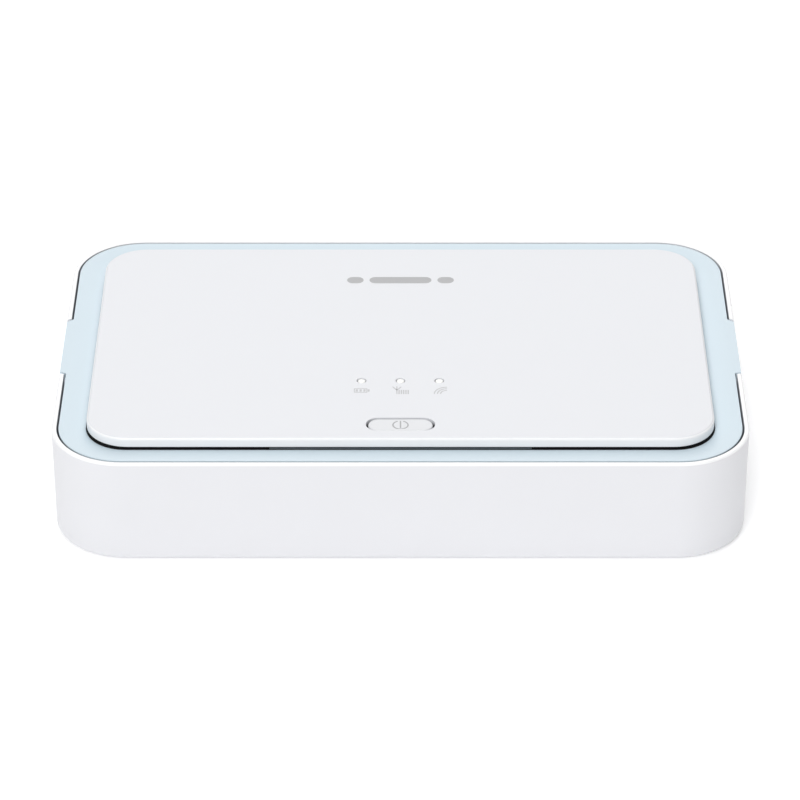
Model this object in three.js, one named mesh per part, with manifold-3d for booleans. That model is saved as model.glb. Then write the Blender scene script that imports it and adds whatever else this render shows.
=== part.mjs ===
// Pocket mobile hotspot. A white tub-shaped back cover holds an electronics core: a pale blue
// mid frame with a floating white top plate above, and an inner housing with the battery bay and
// the card bay below. Millimetres, +Z up, front towards -Y, origin at the middle of the underside.
import * as THREE from "three";
import { mergeVertices } from "three/addons/utils/BufferGeometryUtils.js";
import Module from "manifold-3d";

const wasm = await Module();
wasm.setup();

// ---------------------------------------------------------------------------------------------
// Driving dimensions
// ---------------------------------------------------------------------------------------------

const width = 100; // X, over the back cover
const depth = 65.6; // Y, over the back cover
const height = 17.6; // from the underside to the top of the plate
const cornerRadius = 10.5; // of the back cover, seen from above
const draft = 0.1; // inward lean of each side from the rim down to the base

const seatGap = 0.05; // between faces that rest on each other
const slideGap = 0.1; // around a card in its socket
const fitGap = 0.3; // between neighbouring pieces

const arcSteps = 6; // straight pieces in a quarter turn of an outline
const roundSides = 16; // sides of a small round post or bore

const cover = { wall: 0.7, floor: 1, fillet: 1.2, innerFillet: 0.35, rimBevel: 0.25 };
const plate = { thickness: 1.5, proud: 1.3, inset: 5, radius: 6.2, topBevel: 0.4, lowBevel: 0.15 };
const gasket = { width: 2.5, thickness: 0.65, inset: 0.7 };
const frame = { skirt: 1.2, deck: 1.1, rimStep: 0.05, edgeBevel: 0.2, ringFlat: 0.35, dish: 0.45 };
const recess = { beyondPlate: 0.15 }; // how far the sunk deck reaches past the plate's edge
const web = { length: 37.3, width: 2.5 };
const tongue = { length: 16.2, thickness: 1.1, offset: 0.5, root: 0.3, shortOfSide: 0.05 };
const slant = { front: 0.5, rear: 1.1 }; // how far each end of a tongue leans in towards the outside
const nailSlot = { height: 1.1 };
const snap = { length: 10, height: 0.8, proud: 0.2, belowRim: 4.5, fromMiddle: 25, groove: 0.3 };

const housing = { wall: 1.1, floor: 1, bottomBevel: 0.5, bayWall: 1.2, ceiling: 1 };
const cushion = { thickness: 0.45, inset: 6, radius: 2 };
const battery = { width: 44, thickness: 4.9, edge: 1.2, capLength: 1.5, margin: 1.8 };
const thumb = { length: 14, reach: 3.2, height: 3.6, wall: 1 };
const divider = { width: 5.2 }; // wall between the battery bay and the card bay
const bayLabel = { length: 34, width: 22, thickness: 0.15 };

const board = { thickness: 1, gap: 0.4 };
const screw = { shank: 1.6, head: 2.9, headHeight: 0.9, drive: 1.8, driveBlade: 0.4, driveDepth: 0.5 };
const screwFit = { hole: 1.9, pilot: 1.7, counterbore: 3.5, shelf: 2.6, bite: 3.5, spare: 1 };
const boss = { radius: 2.5, inset: 4.6, sideInset: 2.9 };
const post = { radius: 1.5 };

const button = { length: 9.9, width: 3.6, gap: 0.2, fromPlateEdge: 3.85, sunk: 0.1, bevel: 0.15 };
const buttonFlange = { lip: 0.7, thickness: 0.6, clearance: 0.1, stem: 1.2 };
const travel = { button: 0.4, reset: 0.25, contact: 0.4 };

const window = { diameter: 1.45, spacing: 5.65, fromPlateEdge: 15.98, sunk: 0.05, gap: 0.12 };
const lightPipe = { flange: 1.3, flangeHeight: 0.55, lower: 0.9 };
const led = { length: 1.6, width: 0.8, height: 0.6 };
const lightShield = { length: 16.4, width: 4.6, bore: 1.3, belowDeck: 0.5 };

const usb = { width: 7.5, height: 2.6, wall: 0.3, length: 5.6, radius: 0.7, shortOfSkirt: 0.3 };
const usbTongue = { width: 4.6, height: 0.7, reach: 3.6, base: 1.2 };
const usbWindow = { sideGap: 0.85, endGap: 0.55 }; // of the cover, around the socket

const tactSwitch = { size: 5.2, height: 1.55, bore: 1.45, boreDepth: 1, gap: 0.3, proud: 0.45 };
const resetSwitch = { size: 4.2, height: 1.6, bore: 1.1, boreDepth: 0.9, gap: 0.3, proud: 0.4 };
const resetPlace = { fromRight: 6.3, fromRear: 5.5 }; // middle of the switch, from the card bay's walls

const cardBay = { depth: 45, rightWall: 2.1, margin: 0.4, between: 0.6, frontInset: 0.7 };
const simSize = { width: 15, length: 25, thickness: 0.76, notch: 3, covered: 17 };
const memorySize = { width: 11, length: 15, thickness: 0.7, notch: 1.2, covered: 14 };
const socket = { sheet: 0.25, base: 0.35, stop: 0.5, side: 0.3, window: 5 };

const connector = { width: 10, length: 4.3, height: 4.9, slot: 1.4, pitch: 3 };
const contact = { width: 0.8, height: 2.2, length: 1.5 };

const shieldWall = 0.3;
const carrier = { width: 6.3, length: 40, topGap: 0.5, foil: 0.25, wall: 1.2 };

// ---------------------------------------------------------------------------------------------
// Levels, from the underside up, and outlines that everything else is placed from
// ---------------------------------------------------------------------------------------------

const rimTop = height - plate.proud;
const plateBottom = height - plate.thickness;
const gasketTop = plateBottom - seatGap;
const deckTop = gasketTop - gasket.thickness - seatGap;
const deckBottom = deckTop - frame.deck;
const ringTop = rimTop - frame.rimStep;

const cushionTop = cover.floor + seatGap + cushion.thickness;
const housingBottom = cover.floor + fitGap;
const batteryBottom = cushionTop + slideGap;
const batteryTop = batteryBottom + battery.thickness;
const labelBottom = batteryTop + slideGap;
const bayCeiling = labelBottom + bayLabel.thickness + seatGap;
const housingTop = bayCeiling + housing.ceiling;
const boardBottom = housingTop + seatGap;
const boardTop = boardBottom + board.thickness;
const partBottom = boardTop + seatGap; // where a part soldered to the top of the board starts
const partTop = boardBottom - seatGap; // where a part soldered to its underside ends

const coreHalfX = width / 2 - cover.wall - fitGap;
const coreHalfY = depth / 2 - cover.wall - fitGap;
const coreRadius = cornerRadius - cover.wall - fitGap;
const innerHalfX = coreHalfX - frame.skirt - draft;
const innerHalfY = coreHalfY - frame.skirt - draft;
const plateHalfX = width / 2 - plate.inset;
const plateHalfY = depth / 2 - plate.inset;

const cardBayRight = coreHalfX - draft - cardBay.rightWall;
const simHalfX = simSize.width / 2 + socket.side + socket.sheet;
const memoryHalfX = memorySize.width / 2 + socket.side + socket.sheet;
const memoryX = cardBayRight - cardBay.margin - memoryHalfX;
const simX = memoryX - memoryHalfX - cardBay.between - simHalfX;
const cardBayLeft = simX - simHalfX - cardBay.margin;
const batteryBayRight = cardBayLeft - divider.width;
const batteryBayLeft = -(coreHalfX - draft - housing.wall - battery.margin - housing.bayWall);
const batteryBayHalfY = battery.width / 2 + fitGap;
const batteryLeft = batteryBayLeft + fitGap;
const batteryRight = batteryBayRight - fitGap;
const dividerMiddle = (batteryBayRight + cardBayLeft) / 2;

const buttonY = -plateHalfY + button.fromPlateEdge;
const windowY = -plateHalfY + window.fromPlateEdge;
const screwPlaces = [
  [-(innerHalfX - boss.inset), -(innerHalfY - boss.inset)],
  [-(innerHalfX - boss.inset), innerHalfY - boss.inset],
  [dividerMiddle, -(innerHalfY - boss.sideInset)],
  [dividerMiddle, innerHalfY - boss.sideInset],
  [innerHalfX - boss.inset, -(innerHalfY - boss.inset)],
  [innerHalfX - boss.inset, innerHalfY - boss.inset],
];

// Shielded parts on top of the board: middle, size of the can, size of the chip inside
const modem = { x: -21, y: 8, length: 30, width: 24, height: 2, chip: 13, chipHeight: 1 };
const wifi = { x: 22, y: 10, length: 20, width: 18, height: 2, chip: 8, chipHeight: 0.9 };
const power = { x: 26, y: -12, length: 16, width: 14, height: 1.8, chip: 6, chipHeight: 0.8 };
const inductor = { x: 13.5, y: -8, size: 4, height: 1.8 };
const thermalPad = { length: 24, width: 18, thickness: 1 };
const spreader = { length: 36, width: 28, thickness: 0.5, postInset: 3 };
const wifiAntenna = { x: -28, y: -26, length: 14, width: 3, height: 3, sheet: 0.4, foot: 0.8 };
const boardPosts = [[-13, -24], [13, -22], [-13, 26], [36.2, 0], [-36, -14]];

const spreaderBottom = partBottom + modem.height + seatGap + thermalPad.thickness + seatGap;

// ---------------------------------------------------------------------------------------------
// Finishes
// ---------------------------------------------------------------------------------------------

const finish = {
  white: { color: 0xeeeff3, roughness: 0.35 },
  paleBlue: { color: 0xe3ecf4, roughness: 0.42 },
  clear: { color: 0xf7f8f6, roughness: 0.15 },
  black: { color: 0x1c1d1f, roughness: 0.7 },
  charcoal: { color: 0x34373b, roughness: 0.6 },
  foam: { color: 0x3a3b3d, roughness: 0.95 },
  boardGreen: { color: 0x1d5a3c, roughness: 0.5 },
  steel: { color: 0xb9bcbf, roughness: 0.3, metalness: 1 },
  aluminium: { color: 0xc6c8ca, roughness: 0.35, metalness: 1 },
  gold: { color: 0xd9b560, roughness: 0.25, metalness: 1 },
  silicone: { color: 0x9aa7b5, roughness: 0.8 },
  paper: { color: 0xf2f2ee, roughness: 0.7 },
  batteryWrap: { color: 0xd7dade, roughness: 0.5 },
};

// ---------------------------------------------------------------------------------------------
// Solid helpers
// ---------------------------------------------------------------------------------------------

function solid(geometry) {
  geometry.deleteAttribute("normal");
  geometry.deleteAttribute("uv");
  const merged = mergeVertices(geometry);
  return new wasm.Manifold(
    new wasm.Mesh({
      numProp: 3,
      vertProperties: Float32Array.from(merged.getAttribute("position").array),
      triVerts: Uint32Array.from(merged.getIndex().array),
    }),
  );
}

function joined(parts) {
  return parts.reduce((whole, part) => whole.add(part));
}

function without(body, cuts) {
  return cuts.reduce((rest, part) => rest.subtract(part), body);
}

function piece(name, shape, look, position = [0, 0, 0]) {
  const { vertProperties, triVerts } = shape.getMesh();
  const geometry = new THREE.BufferGeometry();
  geometry.setAttribute("position", new THREE.BufferAttribute(vertProperties, 3));
  geometry.setIndex(new THREE.BufferAttribute(triVerts, 1));
  geometry.computeVertexNormals();
  const mesh = new THREE.Mesh(geometry, new THREE.MeshStandardMaterial({ flatShading: true, ...look }));
  mesh.name = name;
  mesh.position.set(...position);
  return mesh;
}

function roundedRect(halfX, halfY, radius) {
  const shape = new THREE.Shape();
  shape.absarc(halfX - radius, halfY - radius, radius, 0, Math.PI / 2);
  shape.absarc(radius - halfX, halfY - radius, radius, Math.PI / 2, Math.PI);
  shape.absarc(radius - halfX, radius - halfY, radius, Math.PI, 1.5 * Math.PI);
  shape.absarc(halfX - radius, radius - halfY, radius, 1.5 * Math.PI, 2 * Math.PI);
  shape.closePath();
  return shape;
}

function slab(shape, z0, z1) {
  const options = { depth: z1 - z0, bevelEnabled: false, curveSegments: arcSteps };
  return solid(new THREE.ExtrudeGeometry(shape, options).translate(0, 0, z0));
}

// A rounded rectangle drawn up through levels, each grown outward by its own amount
function loft(halfX, halfY, radius, levels) {
  const options = {
    depth: levels.length - 1,
    steps: levels.length - 1,
    bevelEnabled: false,
    curveSegments: arcSteps,
  };
  const geometry = new THREE.ExtrudeGeometry(roundedRect(halfX, halfY, radius), options);
  const place = geometry.getAttribute("position");
  for (let i = 0; i < place.count; i++) {
    const { z, out } = levels[Math.round(place.getZ(i))];
    const centreX = THREE.MathUtils.clamp(place.getX(i), radius - halfX, halfX - radius);
    const centreY = THREE.MathUtils.clamp(place.getY(i), radius - halfY, halfY - radius);
    const growth = (radius + out) / radius;
    const x = centreX + (place.getX(i) - centreX) * growth;
    const y = centreY + (place.getY(i) - centreY) * growth;
    place.setXYZ(i, x, y, z);
  }
  return solid(geometry);
}

function block(x0, x1, y0, y1, z0, z1) {
  const geometry = new THREE.BoxGeometry(x1 - x0, y1 - y0, z1 - z0);
  return solid(geometry.translate((x0 + x1) / 2, (y0 + y1) / 2, (z0 + z1) / 2));
}

function centredBlock(sizeX, sizeY, z0, z1, x = 0, y = 0) {
  return block(x - sizeX / 2, x + sizeX / 2, y - sizeY / 2, y + sizeY / 2, z0, z1);
}

function rod(radius, z0, z1, x = 0, y = 0) {
  const geometry = new THREE.CylinderGeometry(radius, radius, z1 - z0, roundSides).rotateX(Math.PI / 2);
  return solid(geometry.translate(x, y, (z0 + z1) / 2));
}

// A rounded rectangle in X and Z, drawn along Y
function slotAlongY(halfX, halfZ, radius, y0, y1, z) {
  const options = { depth: y1 - y0, bevelEnabled: false, curveSegments: arcSteps };
  const geometry = new THREE.ExtrudeGeometry(roundedRect(halfX, halfZ, radius), options);
  return solid(geometry.rotateX(Math.PI / 2).translate(0, y1, z));
}

// ---------------------------------------------------------------------------------------------
// Back cover
// ---------------------------------------------------------------------------------------------

// Outline of the frame's side tongue, or of the notch that it fills in the cover's rim
function tongueOutline(side, gap) {
  const inner = side * (coreHalfX - tongue.root - gap);
  const outer = side * (width / 2 - tongue.shortOfSide + gap);
  const wideY = tongue.length / 2 + gap;
  const corners = [
    [inner, tongue.offset - wideY],
    [outer, tongue.offset - wideY + slant.front],
    [outer, tongue.offset + wideY - slant.rear],
    [inner, tongue.offset + wideY],
  ];
  return new THREE.Shape(corners.map(([x, y]) => new THREE.Vector2(x, y)));
}

function snapBars(reach, length, barHeight) {
  const barBottom = rimTop - snap.belowRim - barHeight / 2;
  return [-1, 1].flatMap((end) =>
    [-1, 1].map((side) => {
      const face = side * (depth / 2 - cover.wall - draft);
      const [y0, y1] = [face + side * draft, face - side * reach].sort((a, b) => a - b);
      const x = end * snap.fromMiddle;
      return centredBlock(length, y1 - y0, barBottom, barBottom + barHeight, x, (y0 + y1) / 2);
    }),
  );
}

const usbMiddle = partBottom + usb.height / 2;

function backCover() {
  const outside = [];
  for (let step = 0; step <= arcSteps; step++) {
    const turn = ((Math.PI / 2) * step) / arcSteps;
    outside.push({
      z: cover.fillet * (1 - Math.cos(turn)),
      out: -cover.fillet * (1 - Math.sin(turn)) - draft,
    });
  }
  outside.push({ z: rimTop - cover.rimBevel, out: 0 });
  outside.push({ z: rimTop, out: -cover.rimBevel });
  const inside = [
    { z: cover.floor, out: -cover.wall - draft - cover.innerFillet },
    { z: cover.floor + cover.innerFillet, out: -cover.wall - draft },
    { z: rimTop, out: -cover.wall },
    { z: rimTop + fitGap, out: -cover.wall },
  ];
  const notchBottom = rimTop - tongue.thickness - nailSlot.height;
  const windowHalfX = usb.width / 2 + usbWindow.sideGap;
  const windowHalfZ = usb.height / 2 + usbWindow.endGap;
  const cuts = [
    loft(width / 2, depth / 2, cornerRadius, inside),
    slab(tongueOutline(-1, fitGap), notchBottom, height),
    slab(tongueOutline(1, fitGap), notchBottom, height),
    slotAlongY(windowHalfX, windowHalfZ, usb.radius + usbWindow.sideGap, coreHalfY, depth, usbMiddle),
  ];
  const shell = without(loft(width / 2, depth / 2, cornerRadius, outside), cuts);
  const catches = snapBars(snap.proud, snap.length, snap.height);
  return piece("back_cover", joined([shell, ...catches]), finish.white);
}

function batteryCushion() {
  const x = (batteryLeft + batteryRight) / 2;
  const halfX = (batteryRight - batteryLeft) / 2 - cushion.inset;
  const halfY = battery.width / 2 - cushion.inset;
  const pad = slab(roundedRect(halfX, halfY, cushion.radius), 0, cushion.thickness);
  return piece("battery_cushion", pad, finish.foam, [x, 0, cover.floor + seatGap]);
}

// ---------------------------------------------------------------------------------------------
// Mid frame, top plate and gasket
// ---------------------------------------------------------------------------------------------

function capsule(grow) {
  const halfY = button.width / 2 + grow;
  return roundedRect(button.length / 2 + grow, halfY, halfY);
}

function midFrame() {
  const outside = [
    { z: boardBottom, out: -draft },
    { z: ringTop - frame.edgeBevel, out: 0 },
    { z: ringTop, out: -frame.edgeBevel },
  ];
  const underside = [
    { z: boardBottom - fitGap, out: -frame.skirt - draft },
    { z: deckBottom, out: -frame.skirt - draft },
  ];
  const ringWidth = coreHalfX - frame.ringFlat - plateHalfX;
  const sunkDeck = [
    { z: deckTop, out: recess.beyondPlate },
    { z: ringTop - frame.dish, out: recess.beyondPlate },
    { z: ringTop, out: ringWidth },
    { z: height, out: ringWidth },
  ];
  const shell = without(loft(coreHalfX, coreHalfY, coreRadius, outside), [
    loft(coreHalfX, coreHalfY, coreRadius, underside),
    loft(plateHalfX, plateHalfY, plate.radius, sunkDeck),
    ...snapBars(fitGap + snap.groove, snap.length + 2 * fitGap, snap.height + 2 * fitGap),
  ]);
  const webFront = -plateHalfY + gasket.inset;
  const bosses = screwPlaces.map(([x, y]) => rod(boss.radius, boardBottom, deckTop - seatGap, x, y));
  const posts = boardPosts.map(([x, y]) => rod(post.radius, partBottom, deckTop - seatGap, x, y));
  const clampZ = spreaderBottom + spreader.thickness + seatGap;
  const clampX = spreader.length / 2 - spreader.postInset;
  const clampY = spreader.width / 2 - spreader.postInset;
  const clampPlaces = [-1, 1].flatMap((i) =>
    [-1, 1].map((j) => [modem.x + i * clampX, modem.y + j * clampY]),
  );
  const clamps = clampPlaces.map(([x, y]) => rod(post.radius, clampZ, deckTop - seatGap, x, y));
  const tongueBottom = rimTop - tongue.thickness;
  const tongues = [-1, 1].map((side) => slab(tongueOutline(side, 0), tongueBottom, ringTop));
  const body = joined([
    shell,
    centredBlock(web.length, web.width, deckTop - seatGap, gasketTop, 0, webFront + web.width / 2),
    ...bosses,
    ...posts,
    ...clamps,
    ...tongues,
  ]);
  const openingGrow = buttonFlange.lip + fitGap;
  const buttonOpening = slab(capsule(openingGrow), deckBottom - fitGap, height).translate(0, buttonY, 0);
  const pipeHoles = [-1, 0, 1].map((i) =>
    rod(lightPipe.lower + window.gap, deckBottom - fitGap, height, i * window.spacing, windowY),
  );
  const pilotTop = boardTop + screwFit.bite + screwFit.spare;
  const pilotBottom = boardBottom - fitGap;
  const pilots = screwPlaces.map(([x, y]) => rod(screwFit.pilot / 2, pilotBottom, pilotTop, x, y));
  const portHalfX = usb.width / 2 + fitGap;
  const portHalfZ = usb.height / 2 + fitGap;
  const portRadius = usb.radius + fitGap;
  const port = slotAlongY(portHalfX, portHalfZ, portRadius, innerHalfY - fitGap, depth, usbMiddle);
  const cuts = [buttonOpening, ...pipeHoles, ...pilots, port];
  return piece("mid_frame", without(body, cuts), finish.paleBlue);
}

function topPlate() {
  const levels = [
    { z: plateBottom, out: -plate.lowBevel },
    { z: plateBottom + plate.lowBevel, out: 0 },
    { z: height - plate.topBevel, out: 0 },
    { z: height, out: -plate.topBevel },
  ];
  const blank = loft(plateHalfX, plateHalfY, plate.radius, levels);
  const holes = [-1, 0, 1].map((i) =>
    rod(window.diameter / 2, deckTop, height + fitGap, i * window.spacing, windowY),
  );
  const buttonHole = slab(capsule(0), deckTop, height + fitGap).translate(0, buttonY, 0);
  return piece("top_plate", without(blank, [...holes, buttonHole]), finish.white);
}

function plateGasket() {
  const outline = (out, z0, z1) => {
    const levels = [{ z: z0, out }, { z: z1, out }];
    return loft(plateHalfX, plateHalfY, plate.radius, levels);
  };
  const outer = outline(-gasket.inset, deckTop + seatGap, gasketTop);
  const inner = outline(-gasket.inset - gasket.width, deckTop, height);
  const gapHalfX = web.length / 2 + fitGap;
  const gapBack = -plateHalfY + gasket.inset + gasket.width + fitGap;
  const frontGap = block(-gapHalfX, gapHalfX, -plateHalfY, gapBack, deckTop, height);
  return piece("plate_gasket", without(outer, [inner, frontGap]), finish.black);
}

// ---------------------------------------------------------------------------------------------
// Power button and indicator lights
// ---------------------------------------------------------------------------------------------

const switchTop = partBottom + tactSwitch.height;
const plungerTop = switchTop + tactSwitch.proud;

function powerButton() {
  const capTop = height - button.sunk;
  const flangeTop = plateBottom - buttonFlange.clearance;
  const flangeBottom = flangeTop - buttonFlange.thickness;
  const capHalfX = button.length / 2 - button.gap;
  const capHalfY = button.width / 2 - button.gap;
  const cap = loft(capHalfX, capHalfY, capHalfY, [
    { z: flangeBottom, out: 0 },
    { z: capTop - button.bevel, out: 0 },
    { z: capTop, out: -button.bevel },
  ]);
  const flange = slab(capsule(buttonFlange.lip), flangeBottom, flangeTop);
  const stem = rod(buttonFlange.stem, plungerTop + seatGap, flangeTop);
  return piece("power_button", joined([cap, flange, stem]), finish.white, [0, buttonY, 0]);
}

// A push switch whose plunger stands in a bore; both are drawn with the board face at zero
function switchBody(size) {
  const body = centredBlock(size.size, size.size, 0, size.height);
  return body.subtract(rod(size.bore, size.height - size.boreDepth, size.height + fitGap));
}

function switchPlunger(size, press) {
  const foot = size.height - size.boreDepth + press + seatGap;
  return rod(size.bore - size.gap, foot, size.height + size.proud);
}

function powerSwitch() {
  const place = [0, buttonY, partBottom];
  return [
    piece("power_switch", switchBody(tactSwitch), finish.steel, place),
    piece("power_switch_plunger", switchPlunger(tactSwitch, travel.button), finish.black, place),
  ];
}

function resetSwitchParts() {
  const x = cardBayRight - resetPlace.fromRight;
  const y = cardBay.depth / 2 - resetPlace.fromRear;
  const place = [x, y, partTop];
  const body = switchBody(resetSwitch).rotate([180, 0, 0]);
  const plunger = switchPlunger(resetSwitch, travel.reset).rotate([180, 0, 0]);
  return [
    piece("reset_switch", body, finish.steel, place),
    piece("reset_switch_plunger", plunger, finish.black, place),
  ];
}

function lightPipes() {
  const flangeBottom = deckTop + seatGap;
  const flangeTop = flangeBottom + lightPipe.flangeHeight;
  const post = window.diameter / 2 - window.gap;
  const pipeBottom = partBottom + led.height + fitGap;
  const pipe = joined([
    rod(post, flangeBottom, height - window.sunk),
    rod(lightPipe.flange, flangeBottom, flangeTop),
    rod(lightPipe.lower, pipeBottom, flangeTop),
  ]);
  const chip = centredBlock(led.length, led.width, 0, led.height);
  return ["battery", "signal", "wifi"].flatMap((name, i) => {
    const x = (i - 1) * window.spacing;
    return [
      piece(`${name}_light_pipe`, pipe, finish.clear, [x, windowY, 0]),
      piece(`${name}_led`, chip, finish.paper, [x, windowY, partBottom]),
    ];
  });
}

function ledLightShield() {
  const top = deckBottom - lightShield.belowDeck;
  const wall = centredBlock(lightShield.length, lightShield.width, partBottom, top, 0, windowY);
  const bores = [-1, 0, 1].map((i) =>
    rod(lightShield.bore, boardBottom, deckTop, i * window.spacing, windowY),
  );
  return piece("led_light_shield", without(wall, bores), finish.black);
}

// ---------------------------------------------------------------------------------------------
// Inner housing, screws and battery
// ---------------------------------------------------------------------------------------------

const shelfZ = housingTop - screwFit.shelf;

function innerHousing() {
  const outside = [
    { z: housingBottom, out: -draft - housing.bottomBevel },
    { z: housingBottom + housing.bottomBevel, out: -draft },
    { z: housingTop, out: -draft },
  ];
  const hollowLevels = [
    { z: housingBottom + housing.floor, out: -draft - housing.wall },
    { z: housingTop + fitGap, out: -draft - housing.wall },
  ];
  const bayHalfY = cardBay.depth / 2 + housing.bayWall;
  const thumbX = (batteryBayLeft + batteryBayRight) / 2;
  const thumbBack = -batteryBayHalfY - thumb.reach;
  const solidParts = [
    block(batteryBayLeft - housing.bayWall, coreHalfX, -bayHalfY, bayHalfY, 0, height),
    centredBlock(thumb.length + 2 * thumb.wall, bayHalfY, 0, housingBottom + thumb.height + thumb.wall,
      thumbX, thumbBack - thumb.wall + bayHalfY / 2),
    ...screwPlaces.map(([x, y]) => rod(boss.radius, 0, height, x, y)),
  ];
  const hollow = without(loft(coreHalfX, coreHalfY, coreRadius, hollowLevels), solidParts);
  const cuts = [
    hollow,
    block(batteryBayLeft, batteryBayRight, -batteryBayHalfY, batteryBayHalfY, 0, bayCeiling),
    block(cardBayLeft, cardBayRight, -cardBay.depth / 2, cardBay.depth / 2, 0, height),
    centredBlock(thumb.length, thumb.reach + fitGap, 0, housingBottom + thumb.height,
      thumbX, thumbBack + (thumb.reach + fitGap) / 2),
    block(batteryBayRight - fitGap, batteryBayRight + connector.length + fitGap,
      -connector.width / 2 - fitGap, connector.width / 2 + fitGap,
      partTop - connector.height - fitGap, height),
    ...screwPlaces.map(([x, y]) => rod(screwFit.counterbore / 2, 0, shelfZ, x, y)),
    ...screwPlaces.map(([x, y]) => rod(screwFit.hole / 2, 0, height, x, y)),
  ];
  const blank = loft(coreHalfX, coreHalfY, coreRadius, outside);
  return piece("inner_housing", without(blank, cuts), finish.white);
}

function screws() {
  const headTop = shelfZ - seatGap;
  const tip = boardTop + screwFit.bite;
  const cross = joined([
    centredBlock(screw.drive, screw.driveBlade, 0, screw.driveDepth),
    centredBlock(screw.driveBlade, screw.drive, 0, screw.driveDepth),
  ]);
  const body = joined([
    rod(screw.head / 2, 0, screw.headHeight),
    rod(screw.shank / 2, 0, tip - headTop + screw.headHeight),
  ]).subtract(cross.translate(0, 0, -seatGap));
  return screwPlaces.map(([x, y], i) =>
    piece(`screw_${i + 1}`, body, finish.steel, [x, y, headTop - screw.headHeight]),
  );
}

function boardOutline() {
  const halfX = innerHalfX - board.gap;
  const halfY = innerHalfY - board.gap;
  return slab(roundedRect(halfX, halfY, coreRadius - frame.skirt - board.gap), boardBottom, boardTop);
}

function mainBoard() {
  const notches = screwPlaces.map(([x, y]) => rod(boss.radius + fitGap, 0, height, x, y));
  return piece("main_board", without(boardOutline(), notches), finish.boardGreen);
}

function batteryPack() {
  const capLeft = batteryRight - battery.capLength;
  const halfX = (capLeft - seatGap - batteryLeft) / 2;
  const cell = slab(roundedRect(halfX, battery.width / 2, battery.edge), 0, battery.thickness);
  const cap = centredBlock(battery.capLength, battery.width, 0, battery.thickness);
  return [
    piece("battery", cell, finish.batteryWrap, [batteryLeft + halfX, 0, batteryBottom]),
    piece("battery_end_cap", cap, finish.black, [capLeft + battery.capLength / 2, 0, batteryBottom]),
  ];
}

function batteryBayLabel() {
  const label = centredBlock(bayLabel.length, bayLabel.width, 0, bayLabel.thickness);
  return piece("bay_label", label, finish.paper, [(batteryLeft + batteryRight) / 2, 0, labelBottom]);
}

function batteryConnector() {
  const bottom = partTop - connector.height;
  const front = batteryBayRight + seatGap;
  const bodyX = front + connector.length / 2;
  const body = centredBlock(connector.length, connector.width, bottom, partTop, bodyX, 0);
  const middle = bottom + connector.height / 2;
  const slotHalf = contact.height / 2 + fitGap;
  const slotEnd = batteryRight + contact.length + travel.contact + fitGap;
  const slotDepth = slotEnd - front;
  const slot = centredBlock(2 * slotDepth, connector.slot, middle - slotHalf, middle + slotHalf);
  const slots = [-1, 0, 1].map((i) => slot.translate(front, i * connector.pitch, 0));
  const blade = centredBlock(contact.length, contact.width, -contact.height / 2, contact.height / 2);
  const bladeX = batteryRight + seatGap + contact.length / 2;
  return [
    piece("battery_connector", without(body, slots), finish.black),
    ...[-1, 0, 1].map((i) =>
      piece(`battery_contact_${i + 2}`, blade, finish.gold, [bladeX, i * connector.pitch, middle]),
    ),
  ];
}

// ---------------------------------------------------------------------------------------------
// Parts on the board: cans, chips, antennas, heat path, charging socket, card sockets
// ---------------------------------------------------------------------------------------------

function shieldedPart(name, size) {
  const insideLength = size.length - 2 * shieldWall;
  const insideWidth = size.width - 2 * shieldWall;
  const inside = centredBlock(insideLength, insideWidth, -fitGap, size.height - shieldWall);
  const can = centredBlock(size.length, size.width, 0, size.height).subtract(inside);
  const chip = centredBlock(size.chip, size.chip, 0, size.chipHeight);
  const place = [size.x, size.y, partBottom];
  return [
    piece(`${name}_shield`, can, finish.steel, place),
    piece(`${name}_chip`, chip, finish.charcoal, place),
  ];
}

function heatPath() {
  const padBottom = partBottom + modem.height + seatGap;
  const pad = centredBlock(thermalPad.length, thermalPad.width, 0, thermalPad.thickness);
  const sheet = centredBlock(spreader.length, spreader.width, 0, spreader.thickness);
  return [
    piece("thermal_pad", pad, finish.silicone, [modem.x, modem.y, padBottom]),
    piece("heat_spreader", sheet, finish.aluminium, [modem.x, modem.y, spreaderBottom]),
  ];
}

function powerInductor() {
  const body = centredBlock(inductor.size, inductor.size, 0, inductor.height);
  return piece("power_inductor", body, finish.charcoal, [inductor.x, inductor.y, partBottom]);
}

// A hollow carrier along one side of the board with a folded foil over its top and outer face
function sideAntenna(name, side) {
  const top = deckBottom - carrier.topGap;
  const outer = innerHalfX - board.gap - carrier.foil - seatGap;
  const inner = outer - carrier.width;
  const half = carrier.length / 2;
  const wall = carrier.wall;
  const hollow = block(inner + wall, outer - wall, wall - half, half - wall, boardBottom, top - wall);
  const body = block(inner, outer, -half, half, partBottom, top).subtract(hollow);
  const foilOuter = outer + seatGap + carrier.foil;
  const foilTop = top + seatGap + carrier.foil;
  const middleZ = (partBottom + top) / 2;
  const foil = block(inner + wall, foilOuter, wall - half, half - wall, middleZ, foilTop)
    .subtract(block(0, outer + seatGap, -half, half, 0, top + seatGap));
  const mirrored = (shape) => (side < 0 ? shape.rotate([0, 0, 180]) : shape);
  return [
    piece(`${name}_carrier`, mirrored(body), finish.black),
    piece(name, mirrored(foil), finish.gold),
  ];
}

function wifiAntennaPart() {
  const { length, width: deep, height: tall, sheet, foot } = wifiAntenna;
  const arm = centredBlock(length, deep, tall - sheet, tall);
  const feet = [-1, 1].map((end) => centredBlock(foot, deep, 0, tall, (end * (length - foot)) / 2, 0));
  const place = [wifiAntenna.x, wifiAntenna.y, partBottom];
  return piece("wifi_antenna", joined([arm, ...feet]), finish.steel, place);
}

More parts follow.
